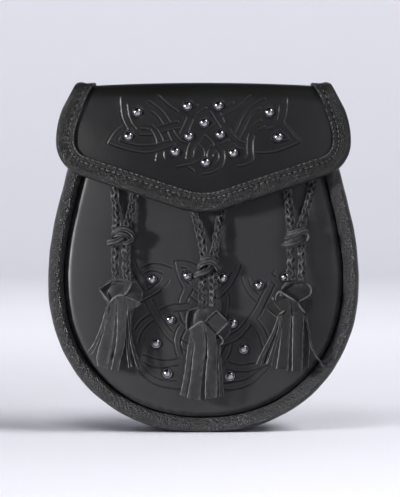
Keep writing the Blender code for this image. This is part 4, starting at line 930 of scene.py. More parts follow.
# %% Pressed lines of the flap
FLAP_LINES = """
119.8,100.6 120.1,106.3 120.7,112.7 121.9,118.4 123.7,122.7 125.5,126.3 127.3,129.1
126.6,106.3 127.3,111.3 128.4,117 129.8,120.6 131.9,124.9 135.5,128.8
123.7,123.4 119.4,126.6 115.9,129.5 111.9,134.5 108.7,139.5 106.6,143.8
127.3,129.1 123,133.1 120.1,136.6 117.3,140.2
109.8,144.1 114.4,145.9 120.1,147.7 126.6,149.7 133.7,151.3 140.9,152.6 148,152.7 155.1,151.6 160.1,150 165.9,148.1 170.9,146.3 174.8,144.5
121.6,141.3 133.7,144.9 140.9,145.9 148,145.9 156.6,144.9 159.4,143.8 164.4,142.4 170.9,140.6
140.9,129.1 147.3,129.5
140.1,135.2 153,135.2
149.4,104.1 154.4,107.4 159.4,110.6 163.7,114.9 166.6,118.4 170.1,123.4
150.9,112.7 155.1,115.6 158.7,118.8 160.9,122 163,125.2
158,99.1 162.3,102.7 166.6,105.9 170.9,109.1 177.3,112.7
157.3,127.7 160.9,126.3 165.1,125.2 169.4,124.1 172.3,123.1 178,122.4
161.6,133.1 164.4,131.6 169.4,130.6 174.4,129.1 180.1,128.4
151.6,125.6 156.6,129.9 159.4,134.1 161.6,138.4 163.1,143.1
149.8,129.9 152.3,133.1 154.4,137 155.9,141.3 156.6,145.2
156,153.8 155.5,157 154.6,161.6
163.4,152 163.4,156.3 164.1,158.8
166.6,130.6 168.4,135.6 170.9,140.6
172.3,129.9 175.1,134.9 179.4,139.9 183.7,142.7 186.6,143.4
185.9,118.8 183.7,123.4 180.9,128.8 178.7,133.4
192.6,120.9 190.1,125.6 188.4,130.2
185.9,131.3 183.4,134.9 182.3,139.1
188.7,143.4 186.6,149.1 185.9,154.1 185.1,159.1
204.4,135.9 200.1,140.6 196.6,145.2 193.4,150.6 192.6,156.3 188.7,159.5
198.7,145.6 202.3,149.1 204.1,153.4 202.6,158.4 198,161.6 190.9,164.5 183.7,165.9 176.6,167.4
193,109.9 197.3,107.4
197.6,115.2 201.6,112.4 205.9,109.9
188,167 193.7,171.3
250.5,99.5 246.6,102.7 240.9,107 236.6,109.9 231.6,112.7 226.6,115.2 222.3,117.4
265.1,102 260.1,103.4 255.1,106.3 249.4,109.5 245.1,113.4 240.9,119.9 238,126.3 234.1,133.1
260.1,109.9 255.1,112.4 251.2,115.6 248,120.6 244.4,127.7 241.6,133.4 238.4,138.1
219.8,114.9 222.3,119.1 223.7,122.7
210.1,113.4 213.4,117.7 215.5,121.3 217.3,123.4 220.1,127.7
216.9,123.8 211.6,127
233,105.2 227.3,108.8
286.9,101.3 286.6,108.4 285.5,115.6 283.4,123.1 289.4,128.4 294.4,134.9 299.4,141.6 290.9,146.3 283.7,149.1 276.6,151.6 269.4,152.7 262.3,153.3 255.9,152.7
278.7,107.7 278,114.1 276.6,120.6
271.6,134.9 278,130.2 280.9,130.9 284.8,134.9 288.4,138.8 283.7,141.3 275.1,142.7 271.6,139.9
251.9,127.4 256.6,123.1 260.9,120.9
260.1,129.9 264.4,127
268.4,129.5 272.3,127.4
248,134.5 246.6,139.1 246.2,149.1 246.6,154.1 244.1,158.8
253.7,136.3 252.6,142 252.6,152.7 252.9,159.5 249.4,163.4 243.7,165.6 237.3,166.6
228.7,129.5 233,134.5 237.3,139.9 243.7,143.1
228.7,140.6 224.4,142.7 220.1,144.9
233,144.5 229.4,147
234.1,144.9 238,148.4 243.7,149.5
204.8,135.9 208.7,139.1 213.4,145.2 209.4,147.7 206.9,152 206.4,156.3
215.5,151.3 213,153.4 212.3,156.6
217.3,153.1 218.4,157 216.9,160.6 212.6,165.6
223.4,151.3 224.4,156.3 223.7,161.3 220.9,167.7 215.9,171.3 210.1,173.4 202.3,174.5
"""

# %% Pressed lines of the front
FRONT_LINES = """
140.5,268.3 145,266 150,264.3 156,264 161.5,264.6 167,266.4 172.3,268.5
144.5,274.1 147.3,271.8 151.4,271.2 156.8,271.8 162.7,273.9
134.1,260.9 136.8,266.8 140,272.3 142.7,276.8 145,283.2 147.7,289.5
130.5,270 132.3,272.7 134.5,276.8 136.8,281.4 139.1,285.9 141.8,289.5
130.5,280 134.5,276.8
146.8,290 149.5,288.2 153.2,286.4 156.8,283.6 159.5,281.4 161,278.5
140,302.7 144.5,300.5 150,297.5 155,294.5 160,290.9 164.1,286.8 167.3,283.6 168.8,281
144.1,301.8 146.4,307.3 150,313.2 153.2,317.7 156.8,323.2 160.5,329.5 165,335.5 168.6,339.5 172.3,342.7
151.4,298.6 154.1,304.1 158.6,312.3 162.3,318.2 165,322.7 168.6,327.3 173.2,332.3
134.1,330 136.8,325.9 140,321.8 143.2,318.6 146.8,316.4 149.5,314.5
137.7,343.6 139.1,338.6 140.5,334.1 143.2,329.5 146.8,325.5 150.5,322.7 153.2,320.9
174.1,260.9 175,265 175.9,270.5 177.3,275 178.6,279.5 180.9,284.1 183.2,287.7
174.1,260.9 179.5,260.6 185,260.9 190.5,262.3 194.1,263.6 197.7,265.5
181.4,267.7 187.7,268.6
183.2,271.4 183.6,274.1 185,278.6 187.7,282.3 190,284.5
183.2,290 181.8,293.2 180,297.7 179.1,301.4 179.1,304.1
193.2,290 191.8,293.2 189.1,296.8 187.7,300.5 186.8,302.3
193.2,289.5 197.3,293.2 200.5,297
189.5,296.4 194.1,299.5 197.7,302.3
160,309.5 165,307.3 170.5,305.5 175,304.5 180.5,304.5 185,303.6 189.5,304
174,312.5 178,311.2 183.2,311.4 190,310.6
178.6,311.4 180.5,316.8 182.7,322.3 185.5,325.9 187.7,328.2 190.5,330.5
185.5,313.6 186.8,317.7 188.6,323.2 190.5,326.4
180,325 176.8,329.5 174.8,335 174.1,340.5 174.5,345.9 175.5,351.4 177.3,357.3
185.5,330.5 183.2,335 181.8,338.6 180.9,342.3 181.4,346.8 183.2,353.6
181.4,340.5 184.1,341.4 187.7,343.2
183.2,349.1 185.9,350.9
142.7,355 146.8,355.9 151.4,357.7 156.8,359.1 163.2,360.5 169.5,360.5 175,359.5 180,358
143.6,362.3 146.8,364.5 151.4,366.4 156.8,367.7 163,368.2 169,367.4 173.2,366.4 179.5,365.5
142.3,365 145.9,369.5 150,373.6 155,377.3 159.5,379.4 165,380.5 172.3,381.2 177.7,380.9
135.9,365 140,372.3 145,377.7 150,381.8 155,384.5 161.4,386.8 168.6,388.2 175.9,389.1 184,389.3
240.9,265.5 239.1,269.5 238.2,273.2 235.5,277.7 233.6,281.4 231.8,285 228.2,289.5 223.6,294.1 219.5,298.2 215.5,300.5
230.9,273.2 228.6,276.8 225,282.3 222.3,285.5 219.5,288.2 217.3,290.5
240.9,273.6 241.8,277.7 243.6,283.2 245.9,288.6 248.6,293.2 251.8,297.3 256.4,301.8
248.6,279.1 250,283.2 251.8,287.3 254.5,290.9 259.1,294.5
267.7,282.7 266.4,285.9 264.5,290.9 261.8,295.9 259.5,300.5 256.8,305.9 254.1,310.5 250.9,315 247.3,318.6 244.5,322.7 241.8,325.9 238.2,329.5 233.6,332.7 230,335 226.4,337.3 222.7,338.2
274.5,286.8 271.8,293.2 269.1,298.6 266.8,303.2 263.6,309.5 260.9,315 257,319
250.9,324.1 249.1,327.7 245.5,331.8 242.3,335.9 238.2,339.1 233.6,341.8 229.1,343.6 224.5,345.5 221.8,345.9
275.5,270.5 272.7,274.1 276.4,276.8
272.3,282.3 276.4,286.8
265,306.8 269.1,310 273.6,314.1 278.2,318.2
270.9,300.5 275.5,305 280,308.6
227.3,292.3 228.6,296.8 229.3,302.3 228.9,307.7 228.2,313.2 226.8,318.6
220.9,298.6 221.8,303.2 221.8,307.7 220.9,311.4
217.3,310.5 221.8,315 226.4,319.5 229.1,325
250.5,323.6 253.6,327.3 257.3,332.3 260,337.7 261.8,343.2 263.6,349.5
257.3,320 260.5,323.2 263.6,327.3 266.4,332.3 268.6,337.3 270.5,342.3
231.8,344.5 230.9,349.5 229.1,354.5 226.4,359.5
224.1,347.3 222.3,350.9 220.5,354.5
224.5,362.7 221.8,367.3
228,361.5 234.5,363.6 239.1,365 244.5,364.8 250,363.6 255.5,363 262,361
226,369.5 233.6,371.4 239.1,371.8 245.5,371.8 250.9,370.9 256.4,369.7 262.7,367.3 269.1,365
220.9,382.3 226.4,383.4 231.8,382.3 237.3,381.5 242.7,380.3 248.2,378.2 253.6,374.8 258.2,371.4 262.7,368.6
222.7,389.5 230,389.8 236.4,389.1 241.8,387.9 247.3,385.9 252.7,383.4 258.2,379.5 263.6,374.1 267.3,370.5 271,366
"""


def charted(text):
    """The charted lines as smooth rows of places across and up, in metres."""
    lines = []
    for row in text.strip().splitlines():
        pixels = [tuple(float(v) for v in pair.split(",")) for pair in row.split()]
        lines.append(smooth_line([from_photo(px, py) for px, py in pixels], 0.0012))
    return lines


GROOVE_DEPTH, GROOVE_WIDTH, LIP_HEIGHT = 0.00030, 0.00042, 0.00007


def pressed(x, z, lines, studs):
    """How far the pressed lines and the studs sink or lift the leather at each point."""
    gap = np.full(len(x), 1.0)
    points = np.stack([x, z], axis=1)
    for line in lines:
        low, high = line.min(axis=0) - 0.003, line.max(axis=0) + 0.003
        near = np.flatnonzero(((points > low) & (points < high)).all(axis=1))
        for a, b in zip(line, line[1:]):
            run = b - a
            t = np.clip(((points[near] - a) @ run) / (run @ run), 0, 1)
            away = np.linalg.norm(points[near] - a - t[:, None] * run, axis=1)
            gap[near] = np.minimum(gap[near], away)
    height = -GROOVE_DEPTH * np.exp(-((gap / GROOVE_WIDTH) ** 2))
    height += LIP_HEIGHT * np.exp(-(((gap - 0.00105) / 0.00042) ** 2))
    for sx, sz in studs:
        away = np.hypot(x - sx, z - sz)
        height -= 0.00035 * np.exp(-(((away - 0.0026) / 0.0008) ** 2))
    return height


def mark_painted_groove_shade(obj, sunk):
    """Keeps how deep each point was pressed; the material darkens the grooves and the dimples round the studs by it, as
    painted shade.
    """
    values = np.clip(-np.asarray(sunk) / GROOVE_DEPTH, 0.0, 1.0)
    obj.data.attributes.new("pressed", "FLOAT", "POINT").data.foreach_set("value", values)


flap_lines, front_lines = charted(FLAP_LINES), charted(FRONT_LINES)
print(len(flap_lines), "pressed lines on the flap and", len(front_lines), "on the front")

# %% [markdown]
# ## The front panel
# The front is a crowned sheet that sinks behind the rolled rim. It is cut flat to the outline inside the rim, and
# each point is then lifted to the crowned face, less what the pressed lines and the studs take away.

# %% Cut, press and crown the front
FRONT_STUDS = [
    (-0.331, 1.002), (-0.103, 1.024), (0.122, 1.010), (0.356, 0.963), (0.524, 1.015), (-0.211, 0.737), (0.187, 0.713),
    (-0.303, 0.582), (0.257, 0.546), (-0.232, 0.385), (0.169, 0.367),
]
front_stud_places = [(across * BODY_HALF_WIDTH, up * WIDEST_HEIGHT) for across, up in FRONT_STUDS]
panel_outline = body_outline(PANEL_INSET, MOUTH_HEIGHT)
xs = spaced(-BODY_HALF_WIDTH + PANEL_INSET, BODY_HALF_WIDTH - PANEL_INSET, -0.0432, 0.0470, 0.00040, 0.0016)
zs = spaced(PANEL_INSET - SETTLE, MOUTH_HEIGHT, 0.0236, 0.1004, 0.00040, 0.0016)
front = cut_sheet("front_pressed", xs, zs, panel_outline, LEATHER)


def crown(x, z, height):
    sunk = np.where(height > -1e-6, pressed(x, z, front_lines, front_stud_places), 0.0)
    mark_painted_groove_shade(front, sunk)
    return np.stack([x, panel_y(x, z) - height - sunk, z], axis=1)


bend(front, crown)
finish_piece(front, [front_leather_painted_light], ["front_panel"])

# %% [markdown]
# ## The flap
# The flap is one sheet that is sewn to the back, folds over the top and hangs down the front to a blunt point. It is
# cut flat, with its length measured along its own middle line, and then folded over that line.

# %% Form of the flap
FLAP_HALF_WIDTH, FLAP_TOP_HALF_WIDTH, FLAP_SIDE_RADIUS = 0.0845, 0.0732, 0.046
FLAP_CORNER_RADIUS, FLAP_TIP_RADIUS, FLAP_EDGE_SLOPE, FLAP_POINT_HEIGHT = 0.020, 0.046, math.radians(18.4), 0.1246
FOLD_HEIGHT, FOLD_RADIUS, FOLD_CROWN, HEM_HEIGHT, FLAP_STANDOFF = 0.1970, 0.0095, 0.0030, 0.168, 0.0090
FLAP_SIDE_DROP, FLAP_DROP_POWER, FLAP_DROP_RUN = 0.0070, 3.0, 0.030
BINDING_LEATHER, BINDING_GAP, BINDING_FRONT_WIDTH, BINDING_BACK_WIDTH = 0.0012, 0.0005, 0.0105, 0.0080
BINDING_REACH = BINDING_GAP + BINDING_LEATHER


def rounded_path(corners, radii, steps):
    """A line through the corners, each inner corner rounded by an arc of its radius."""
    points = [Vector(corners[0])]
    for before, corner, after, radius in zip(corners, corners[1:], corners[2:], radii):
        corner = Vector(corner)
        back, on = (Vector(before) - corner).normalized(), (Vector(after) - corner).normalized()
        half = back.angle(on) / 2
        centre = corner + (back + on).normalized() * radius / math.sin(half)
        start = corner + back * radius / math.tan(half) - centre
        side = 1 if back.x * on.y - back.y * on.x < 0 else -1
        for i in range(steps + 1):
            angle = side * (math.pi - 2 * half) * i / steps
            c, s = math.cos(angle), math.sin(angle)
            points.append(centre + Vector((start.x * c - start.y * s, start.x * s + start.y * c)))
    points.append(Vector(corners[-1]))
    return np.array([tuple(p) for p in points])


FLAP_BACK = BACK_FACE + 0.0003 + BINDING_REACH + LEATHER / 2
flap_side_view = rounded_path(
    [(FLAP_BACK, HEM_HEIGHT), (FLAP_BACK, FOLD_HEIGHT), (crest(FOLD_HEIGHT) - FLAP_STANDOFF, FOLD_HEIGHT), (crest(FLAP_POINT_HEIGHT) - FLAP_STANDOFF, FLAP_POINT_HEIGHT)],
    (FOLD_RADIUS, FOLD_RADIUS), 40,
)
flap_marks = np.concatenate([[0.0], np.cumsum(np.linalg.norm(np.diff(flap_side_view, axis=0), axis=1))])
FOLD_START, FRONT_START, FLAP_LENGTH = flap_marks[1], flap_marks[-2], flap_marks[-1]
SPARE = 0.02
first, last = directions(flap_side_view)[0], directions(flap_side_view)[-1]
long_view = np.concatenate([[flap_side_view[0] - SPARE * first], flap_side_view, [flap_side_view[-1] + SPARE * last]])
long_marks = np.concatenate([[-SPARE], flap_marks, [FLAP_LENGTH + SPARE]])


def walk_at_height(z):
    top, tip = flap_side_view[-2][1], flap_side_view[-1][1]
    return FRONT_START + (top - z) / (top - tip) * (FLAP_LENGTH - FRONT_START)


def height_at_walk(walked):
    return np.interp(walked, long_marks, long_view[:, 1])


def flap_middle(x, walked):
    y, z = np.interp(walked, long_marks, long_view[:, 0]), height_at_walk(walked)
    share = np.clip((walked - FRONT_START + FLAP_DROP_RUN / 2) / FLAP_DROP_RUN, 0, 1)
    settled = share * share * (3 - 2 * share)
    beside = np.minimum(1.0, np.abs(x) / FLAP_HALF_WIDTH)
    return np.stack([x, y + FLAP_SIDE_DROP * settled * beside**FLAP_DROP_POWER, z + FOLD_CROWN * (1 - beside**2) * (1 - settled)], axis=1)


def flap_point(x, walked, height):
    step = 0.0010
    across = flap_middle(x + step, walked) - flap_middle(x - step, walked)
    along = flap_middle(x, walked + step) - flap_middle(x, walked - step)
    normal = np.cross(along, across)
    normal /= np.linalg.norm(normal, axis=1, keepdims=True)
    return flap_middle(x, walked) + normal * np.broadcast_to(height, len(x))[:, None]


def flap_side(z, inset):
    turn = FLAP_POINT_HEIGHT + FLAP_HALF_WIDTH * math.tan(FLAP_EDGE_SLOPE)
    rise = z - turn - FLAP_CORNER_RADIUS * math.tan((math.pi / 2 - FLAP_EDGE_SLOPE) / 2)
    rise = np.clip(rise, 0.0, FLAP_SIDE_RADIUS)
    sweep = FLAP_SIDE_RADIUS - np.sqrt(FLAP_SIDE_RADIUS**2 - rise**2)
    return np.maximum(FLAP_HALF_WIDTH - sweep, FLAP_TOP_HALF_WIDTH) - inset


def flap_edge(inset):
    """Points (across, walked) of the flap's right edge from its back hem, up, over and down to its point."""
    back = [(FLAP_TOP_HALF_WIDTH - inset, walked) for walked in np.linspace(0, (FOLD_START + FRONT_START) / 2, 30)]
    top = flap_side_view[-2][1]
    over = [(float(flap_side(height_at_walk(walked), inset)), walked) for walked in np.linspace((FOLD_START + FRONT_START) / 2, FRONT_START, 16)[1:-1]]
    widest, lift = FLAP_HALF_WIDTH - inset, inset / math.cos(FLAP_EDGE_SLOPE)
    corner_height = FLAP_POINT_HEIGHT + lift + widest * math.tan(FLAP_EDGE_SLOPE)
    lower = rounded_path(
        [(widest, top), (widest, corner_height), (0.0, FLAP_POINT_HEIGHT + lift), (-widest, corner_height)],
        (FLAP_CORNER_RADIUS - inset, FLAP_TIP_RADIUS - inset), 16,
    )
    side = [(float(flap_side(z, inset)), float(walk_at_height(z))) for z in np.linspace(top, lower[1][1], 30)[:-1]]
    low = [(max(x, 0.0), float(walk_at_height(z))) for x, z in lower[1:-1] if x > -1e-9]
    if low[-1][0] > 0:
        low.append((0.0, low[-1][1]))
    return np.array(back + over + side + low)


def both_sides(edge):
    return np.concatenate([edge * (-1, 1), edge[::-1][1:]])


flap_outline = both_sides(flap_edge(BINDING_REACH))
print("flap:", round(1000 * FLAP_LENGTH, 1), "mm long over its middle line")

# %% Cut, press and fold the flap
FLAP_STUDS = [
    (-0.424, 2.095), (-0.479, 1.943), (-0.104, 2.128), (0.096, 2.130), (0.420, 2.094), (0.477, 1.938), (0.004, 2.029), (-0.094, 1.943),
    (0.106, 1.954), (-0.181, 1.841), (0.189, 1.834), (0.012, 1.771),
]
flap_stud_places = [(across * BODY_HALF_WIDTH, up * WIDEST_HEIGHT) for across, up in FLAP_STUDS]
widest = flap_outline[:, 0].max()
xs = spaced(-widest, widest, -0.0575, 0.0575, 0.00038, 0.0017)
walks = spaced(0.0, FLAP_LENGTH - BINDING_REACH / 2, float(walk_at_height(0.1935)), float(walk_at_height(0.1455)), 0.00038, 0.0014)
flap = cut_sheet("flap_pressed", xs, walks, flap_outline, LEATHER)


def fold(x, walked, height):
    sunk = pressed(x, height_at_walk(walked), flap_lines, flap_stud_places)
    sunk = np.where((height > -1e-6) & (walked > FRONT_START - 0.004), sunk, 0.0)
    mark_painted_groove_shade(flap, sunk)
    return flap_point(x, walked, height + LEATHER / 2 + sunk)


bend(flap, fold)
finish_piece(flap, [flap_leather_painted_shade], ["flap"])

# %% [markdown]
# ## The binding
# A strip of softer leather is folded round the flap's whole edge and sewn through twice. Its section is swept along
# the edge: a full rolled edge, a channel where the strong row of stitches pulls it down, a small ridge, and a second
# channel at its inner border. The ridge puckers a little between the stitches.

# %% Sweep the binding
STITCH_PITCH = 0.0033
OUTER_ROW, INNER_ROW = 0.0070, 0.0099
edge_line = even_line(both_sides(flap_edge(BINDING_REACH)), 0.00041)
edge_along = directions(edge_line)
edge_inward = np.stack([-edge_along[:, 1], edge_along[:, 0]], axis=1)
on_fold = edge_line[:, 1] < FRONT_START
blend_in = np.clip((edge_line[:, 1] - FRONT_START) / 0.006, 0, 1)[:, None]
flat_in = np.stack([-np.sign(edge_line[:, 0]), np.zeros(len(edge_line))], axis=1)
if np.sum(edge_inward * flat_in) < 0:
    edge_inward = -edge_inward
edge_inward = edge_inward * blend_in + flat_in * (1 - blend_in)
edge_inward /= np.linalg.norm(edge_inward, axis=1, keepdims=True)
edge_walked = np.concatenate([[0.0], np.cumsum(np.linalg.norm(np.diff(edge_line, axis=0), axis=1))])


def binding_height(depth, walked):
    """Height of the binding's outer face over the flap's middle, by the depth from its outer edge."""
    base = LEATHER / 2 + BINDING_REACH
    roll = 0.00090 * np.exp(-(((depth - 0.0022) / 0.0020) ** 2))
    channel = 0.00030 * np.exp(-(((depth - OUTER_ROW) / 0.0007) ** 2)) + 0.00012 * np.exp(-(((depth - INNER_ROW) / 0.0006) ** 2))
    between = (0.5 + 0.5 * np.cos(2 * np.pi * walked / STITCH_PITCH)) ** 3
    hole = 0.00050 * np.exp(-(((depth - OUTER_ROW) / 0.00045) ** 2)) + 0.00015 * np.exp(-(((depth - INNER_ROW) / 0.0004) ** 2))
    pucker = between * hole + 0.00007 * np.cos(2 * np.pi * walked / STITCH_PITCH) * np.exp(-(((depth - OUTER_ROW) / 0.0022) ** 2))
    lumps = 0.00010 * np.sin(walked / 0.0043) + 0.00008 * np.sin(walked / 0.0027 + 200 * depth)
    return base + roll - channel - pucker + lumps


front_depths = [0.0105, 0.0103, 0.0099, 0.0094, 0.0088, 0.0082, 0.0076, 0.0070, 0.0064, 0.0057, 0.0048, 0.0038, 0.0028, 0.0018, 0.0009, 0.0002]
rings = []
for point, inward, walked in zip(edge_line, edge_inward, edge_walked):
    section = [(0.0105, LEATHER / 2 + BINDING_GAP)]
    section += [(depth, float(binding_height(np.array(depth), walked))) for depth in front_depths]
    section += [(-0.0005, 0.0014), (-0.0008, 0.0), (-0.0005, -0.0014), (0.0006, -LEATHER / 2 - BINDING_REACH)]
    section += [(0.0030, -LEATHER / 2 - BINDING_REACH), (BINDING_BACK_WIDTH, -LEATHER / 2 - BINDING_REACH), (BINDING_BACK_WIDTH, -LEATHER / 2 - BINDING_GAP)]
    section += [(BINDING_REACH + 0.0001, -LEATHER / 2 - 0.0001), (BINDING_REACH + 0.0001, LEATHER / 2 + 0.0001)]
    depths = np.array([d - BINDING_REACH for d, _ in section])
    places = point + depths[:, None] * inward
    rings.append(flap_point(places[:, 0], places[:, 1], np.array([h for _, h in section])))
binding = tube_piece("flap_edge_binding", [rings])
finish_piece(binding, [binding_leather_painted_shade], ["flap_binding"], angle=50)

# %% [markdown]
# ## Stitches
# A stitch is a short round of waxed thread that dips into a hole at each end. One low shape is made as arrays and
# set along a row of places, so that a whole seam is one mesh.

# %% Helper that sews a row of stitches
STITCH_RINGS = [(-1.0, 0.30, -0.9), (-0.72, 0.85, 0.1), (0.0, 1.0, 0.55), (0.72, 0.85, 0.1), (1.0, 0.30, -0.9)]


def sew(name, rows, length=0.0021, width=0.00040):
    """Stitches along rows of (place, direction, outwards), all in one mesh."""
    points, faces = [], []
    for places, along, out in rows:
        side = np.cross(along, out)
        side /= np.linalg.norm(side, axis=1, keepdims=True)
        for place, a, o, s in zip(places, along, out, side):
            base = len(points)
            for t, radius, lift in STITCH_RINGS:
                for k in range(6):
                    turn = 2 * math.pi * k / 6
                    points.append(place + a * t * length / 2 + s * radius * width / 2 * math.cos(turn) + o * (lift + radius * math.sin(turn)) * width / 2)
            for i in range(4):
                for k in range(6):
                    j = (k + 1) % 6
                    faces.append((base + 6 * i + k, base + 6 * i + j, base + 6 * i + 6 + j, base + 6 * i + 6 + k))
            faces.append(tuple(base + k for k in range(6))[::-1])
            faces.append(tuple(base + 24 + k for k in range(6)))
    mesh = bpy.data.meshes.new(name)
    mesh.from_pydata(np.array(points).tolist(), [], faces)
    obj = bpy.data.objects.new(name, mesh)
    bpy.context.scene.collection.objects.link(obj)
    face_outwards(obj)
    return finish_piece(obj, [thread], angle=60)


def row_on_binding(depth, lift):
    """Stitches at one depth from the binding's edge, one at each pitch."""
    wanted = np.arange(1.5 * STITCH_PITCH, edge_walked[-1] - STITCH_PITCH / 2, STITCH_PITCH)
    line = np.stack([np.interp(wanted, edge_walked, c) for c in edge_line.T], axis=1)
    inward = np.stack([np.interp(wanted, edge_walked, c) for c in edge_inward.T], axis=1)
    places = line + inward * (depth - BINDING_REACH)
    height = binding_height(np.full(len(wanted), depth), wanted)
    on = flap_point(places[:, 0], places[:, 1], height + lift)
    off = flap_point(places[:, 0], places[:, 1], height + lift + 0.001)
    out = (off - on) / 0.001
    return on, directions(on), out / np.linalg.norm(out, axis=1, keepdims=True)


binding_stitches = sew("binding_stitches", [row_on_binding(OUTER_ROW, 0.0001), row_on_binding(INNER_ROW, 0.00002)])

# %% [markdown]
# ## The rolled rim
# The rim is a padded tube of soft leather sewn round the front. Its section is swept round the outline, pressed flat
# where the pouch stands, and made uneven by gentle lumps, because the padding inside isn't even. Fine wrinkles
# across it come from the material, which reads the map along and round the tube.

# %% Sweep the rim
def rim_rings(sides):
    line = even_line(body_outline(ROLL_WIDTH / 2, MOUTH_HEIGHT), 0.0011)
    along = directions(line)
    outwards = np.stack([along[:, 1], -along[:, 0]], axis=1)
    walked = np.arange(len(line)) * 0.0011
    angle = 2 * np.pi * np.arange(sides) / sides
    rings = []
    for (x, z), (nx, nz), w in zip(line, outwards, walked):
        lump = 1 + 0.018 * math.sin(w / 0.0075) + 0.014 * math.sin(w / 0.0041 + 1.3) + 0.010 * np.sin(w / 0.0023 + 2 * angle)
        out = ROLL_WIDTH / 2 * np.cos(angle) * lump
        y = crest(max(z, 0.0)) + ROLL_DEPTH / 2 * (1 - np.sin(angle) * lump)
        rings.append(np.stack([x + nx * out, y, np.maximum(z + nz * out, 0.0)], axis=1))
    return rings


rim = tube_piece("rim_padded", [rim_rings(26)])
finish_piece(rim, [rim_leather_painted_light], ["rim_roll"])

# %% [markdown]
# ## The side wall
# Between the rim and the back runs a band of soft leather, drawn in between its two seams and creased by wear.

# %% Sweep the side wall
def gusset_rings():
    outer = even_line(body_outline(0.0, MOUTH_HEIGHT), 0.0022)
    along = directions(outer)
    normals = np.stack([along[:, 1], -along[:, 0]], axis=1)
    shares = np.linspace(0, 1, 9)
    rings = []
    for number, ((x, z), (nx, nz)) in enumerate(zip(outer, normals)):
        foot = max(z, 0.0)
        front, back = crest(foot) + ROLL_DEPTH + 0.0003, BACK_FACE - LEATHER - 0.0003
        sag = 0.0015 * min(1.0, foot / WIDEST_HEIGHT)
        w = number * 0.0022
        ring = []
        for inward, floor in ((0.0, 0.0), (0.0018, 0.0018)):
            row = []
            for share in shares:
                ripple = 0.00035 * math.sin(w / 0.0035 + 3 * share) * math.sin(math.pi * share) * min(1.0, foot / 0.02)
                step = inward + 4 * sag * share * (1 - share) + ripple * (inward == 0.0)
                y = front + (back - front) * share
                row.append((x - nx * step, y, max(z - nz * step, floor)))
            ring += row if inward == 0.0 else row[::-1]
        rings.append(ring)
    return rings


gusset = tube_piece("side_wall_creased", [gusset_rings()])
finish_piece(gusset, [side_leather], ["gusset"])

# %% [markdown]
# ## The back
# The back is a plain flat sheet of the same leather as the front, with a sewn line near its edge that holds the side
# wall. It is cut as the front is, and only the pressed channel for the stitches marks it.

# %% Cut the back and sew round it
back_outline = body_outline(0.0, BACK_HEIGHT)
back_outline[:, 1] = np.maximum(back_outline[:, 1], 0.0)
seam = even_line(body_outline(0.0042, BACK_HEIGHT - 0.024), 0.0012)
xs = spaced(-BODY_HALF_WIDTH, BODY_HALF_WIDTH, -0.0895, 0.0895, 0.0011, 0.0011)
zs = spaced(0.0, BACK_HEIGHT, 0.0005, BACK_HEIGHT - 0.0005, 0.0011, 0.0011)
back_sheet = cut_sheet("back_sewn", xs, zs, back_outline, LEATHER)


def lay_back(x, z, height):
    on_face = height > -1e-6
    y = BACK_FACE + height
    gap = np.full(on_face.sum(), 1.0)
    places = np.stack([x[on_face], z[on_face]], axis=1)
    for point in seam:
        gap = np.minimum(gap, np.linalg.norm(places - point, axis=1))
    y[on_face] -= 0.0003 * np.exp(-((gap / 0.0009) ** 2))
    return np.stack([x, y, z], axis=1)


bend(back_sheet, lay_back)
finish_piece(back_sheet, [panel_leather], ["back_panel"])

# %% Stitches of the back and of the flap's hem
def flat_row(line, y, out):
    line = even_line(line, STITCH_PITCH)
    places = np.stack([line[:, 0], np.full(len(line), y), line[:, 1]], axis=1)
    return places, directions(places), np.tile(out, (len(line), 1))


FLAP_BACK_FACE = FLAP_BACK + LEATHER / 2
rows = [flat_row(body_outline(0.0042, BACK_HEIGHT - 0.024), BACK_FACE - 0.0001, (0.0, 1.0, 0.0))]
rows += [flat_row([(-0.062, z), (0.062, z)], FLAP_BACK_FACE, (0.0, 1.0, 0.0)) for z in (0.1715, 0.1755)]
back_stitches = sew("back_stitches", rows)

# %% [markdown]
# ## The belt loops
# Two straps on the back make tunnels for the belt. Each follows the side view of its CAD solid, with rounded edges,
# and a box of stitches holds each foot.

# %% Straps of the belt loops
LOOP_WIDTH, LOOP_LENGTH, LOOP_FOOT, LOOP_RISE, LOOP_LEATHER = 0.028, 0.058, 0.009, 0.0058, 0.0020
LOOP_PLACES = {"left": -0.037, "right": 0.037}
LOOP_HEIGHT = 0.130
loop_base = BACK_FACE + 0.0003 + LOOP_LEATHER / 2
loop_low, loop_high = LOOP_HEIGHT - LOOP_LENGTH / 2, LOOP_HEIGHT + LOOP_LENGTH / 2
loop_slant = LOOP_RISE * 0.8
loop_line = rounded_path(
    [
        (loop_base, loop_low), (loop_base, loop_low + LOOP_FOOT), (loop_base + LOOP_RISE, loop_low + LOOP_FOOT + loop_slant),
        (loop_base + LOOP_RISE, loop_high - LOOP_FOOT - loop_slant), (loop_base, loop_high - LOOP_FOOT), (loop_base, loop_high),
    ],
    (0.0024,) * 4, 6,
)
LOOP_SECTION = [(-1.0, -0.6), (-1.0, 0.6), (-0.975, 1.0), (-0.9, 1.06), (-0.84, 0.9), (-0.78, 1.06), (0.0, 1.1), (0.78, 1.06), (0.84, 0.9), (0.9, 1.06), (0.975, 1.0), (1.0, 0.6), (1.0, -0.6), (0.975, -1.0), (-0.975, -1.0)]


def belt_loop(side, x):
    line = even_line(loop_line, 0.0009)
    along = directions(line)
    normal = np.stack([along[:, 1], -along[:, 0]], axis=1)
    rings = []
    for (y, z), (ny, nz) in zip(line, normal):
        rings.append([(x + u * LOOP_WIDTH / 2, y + v * ny * LOOP_LEATHER / 2 * 0.92, z + v * nz * LOOP_LEATHER / 2 * 0.92) for u, v in LOOP_SECTION])
    obj = tube_piece(f"belt_loop_{side}_strap", [rings])
    return finish_piece(obj, [panel_leather], [f"belt_loop_{side}"])


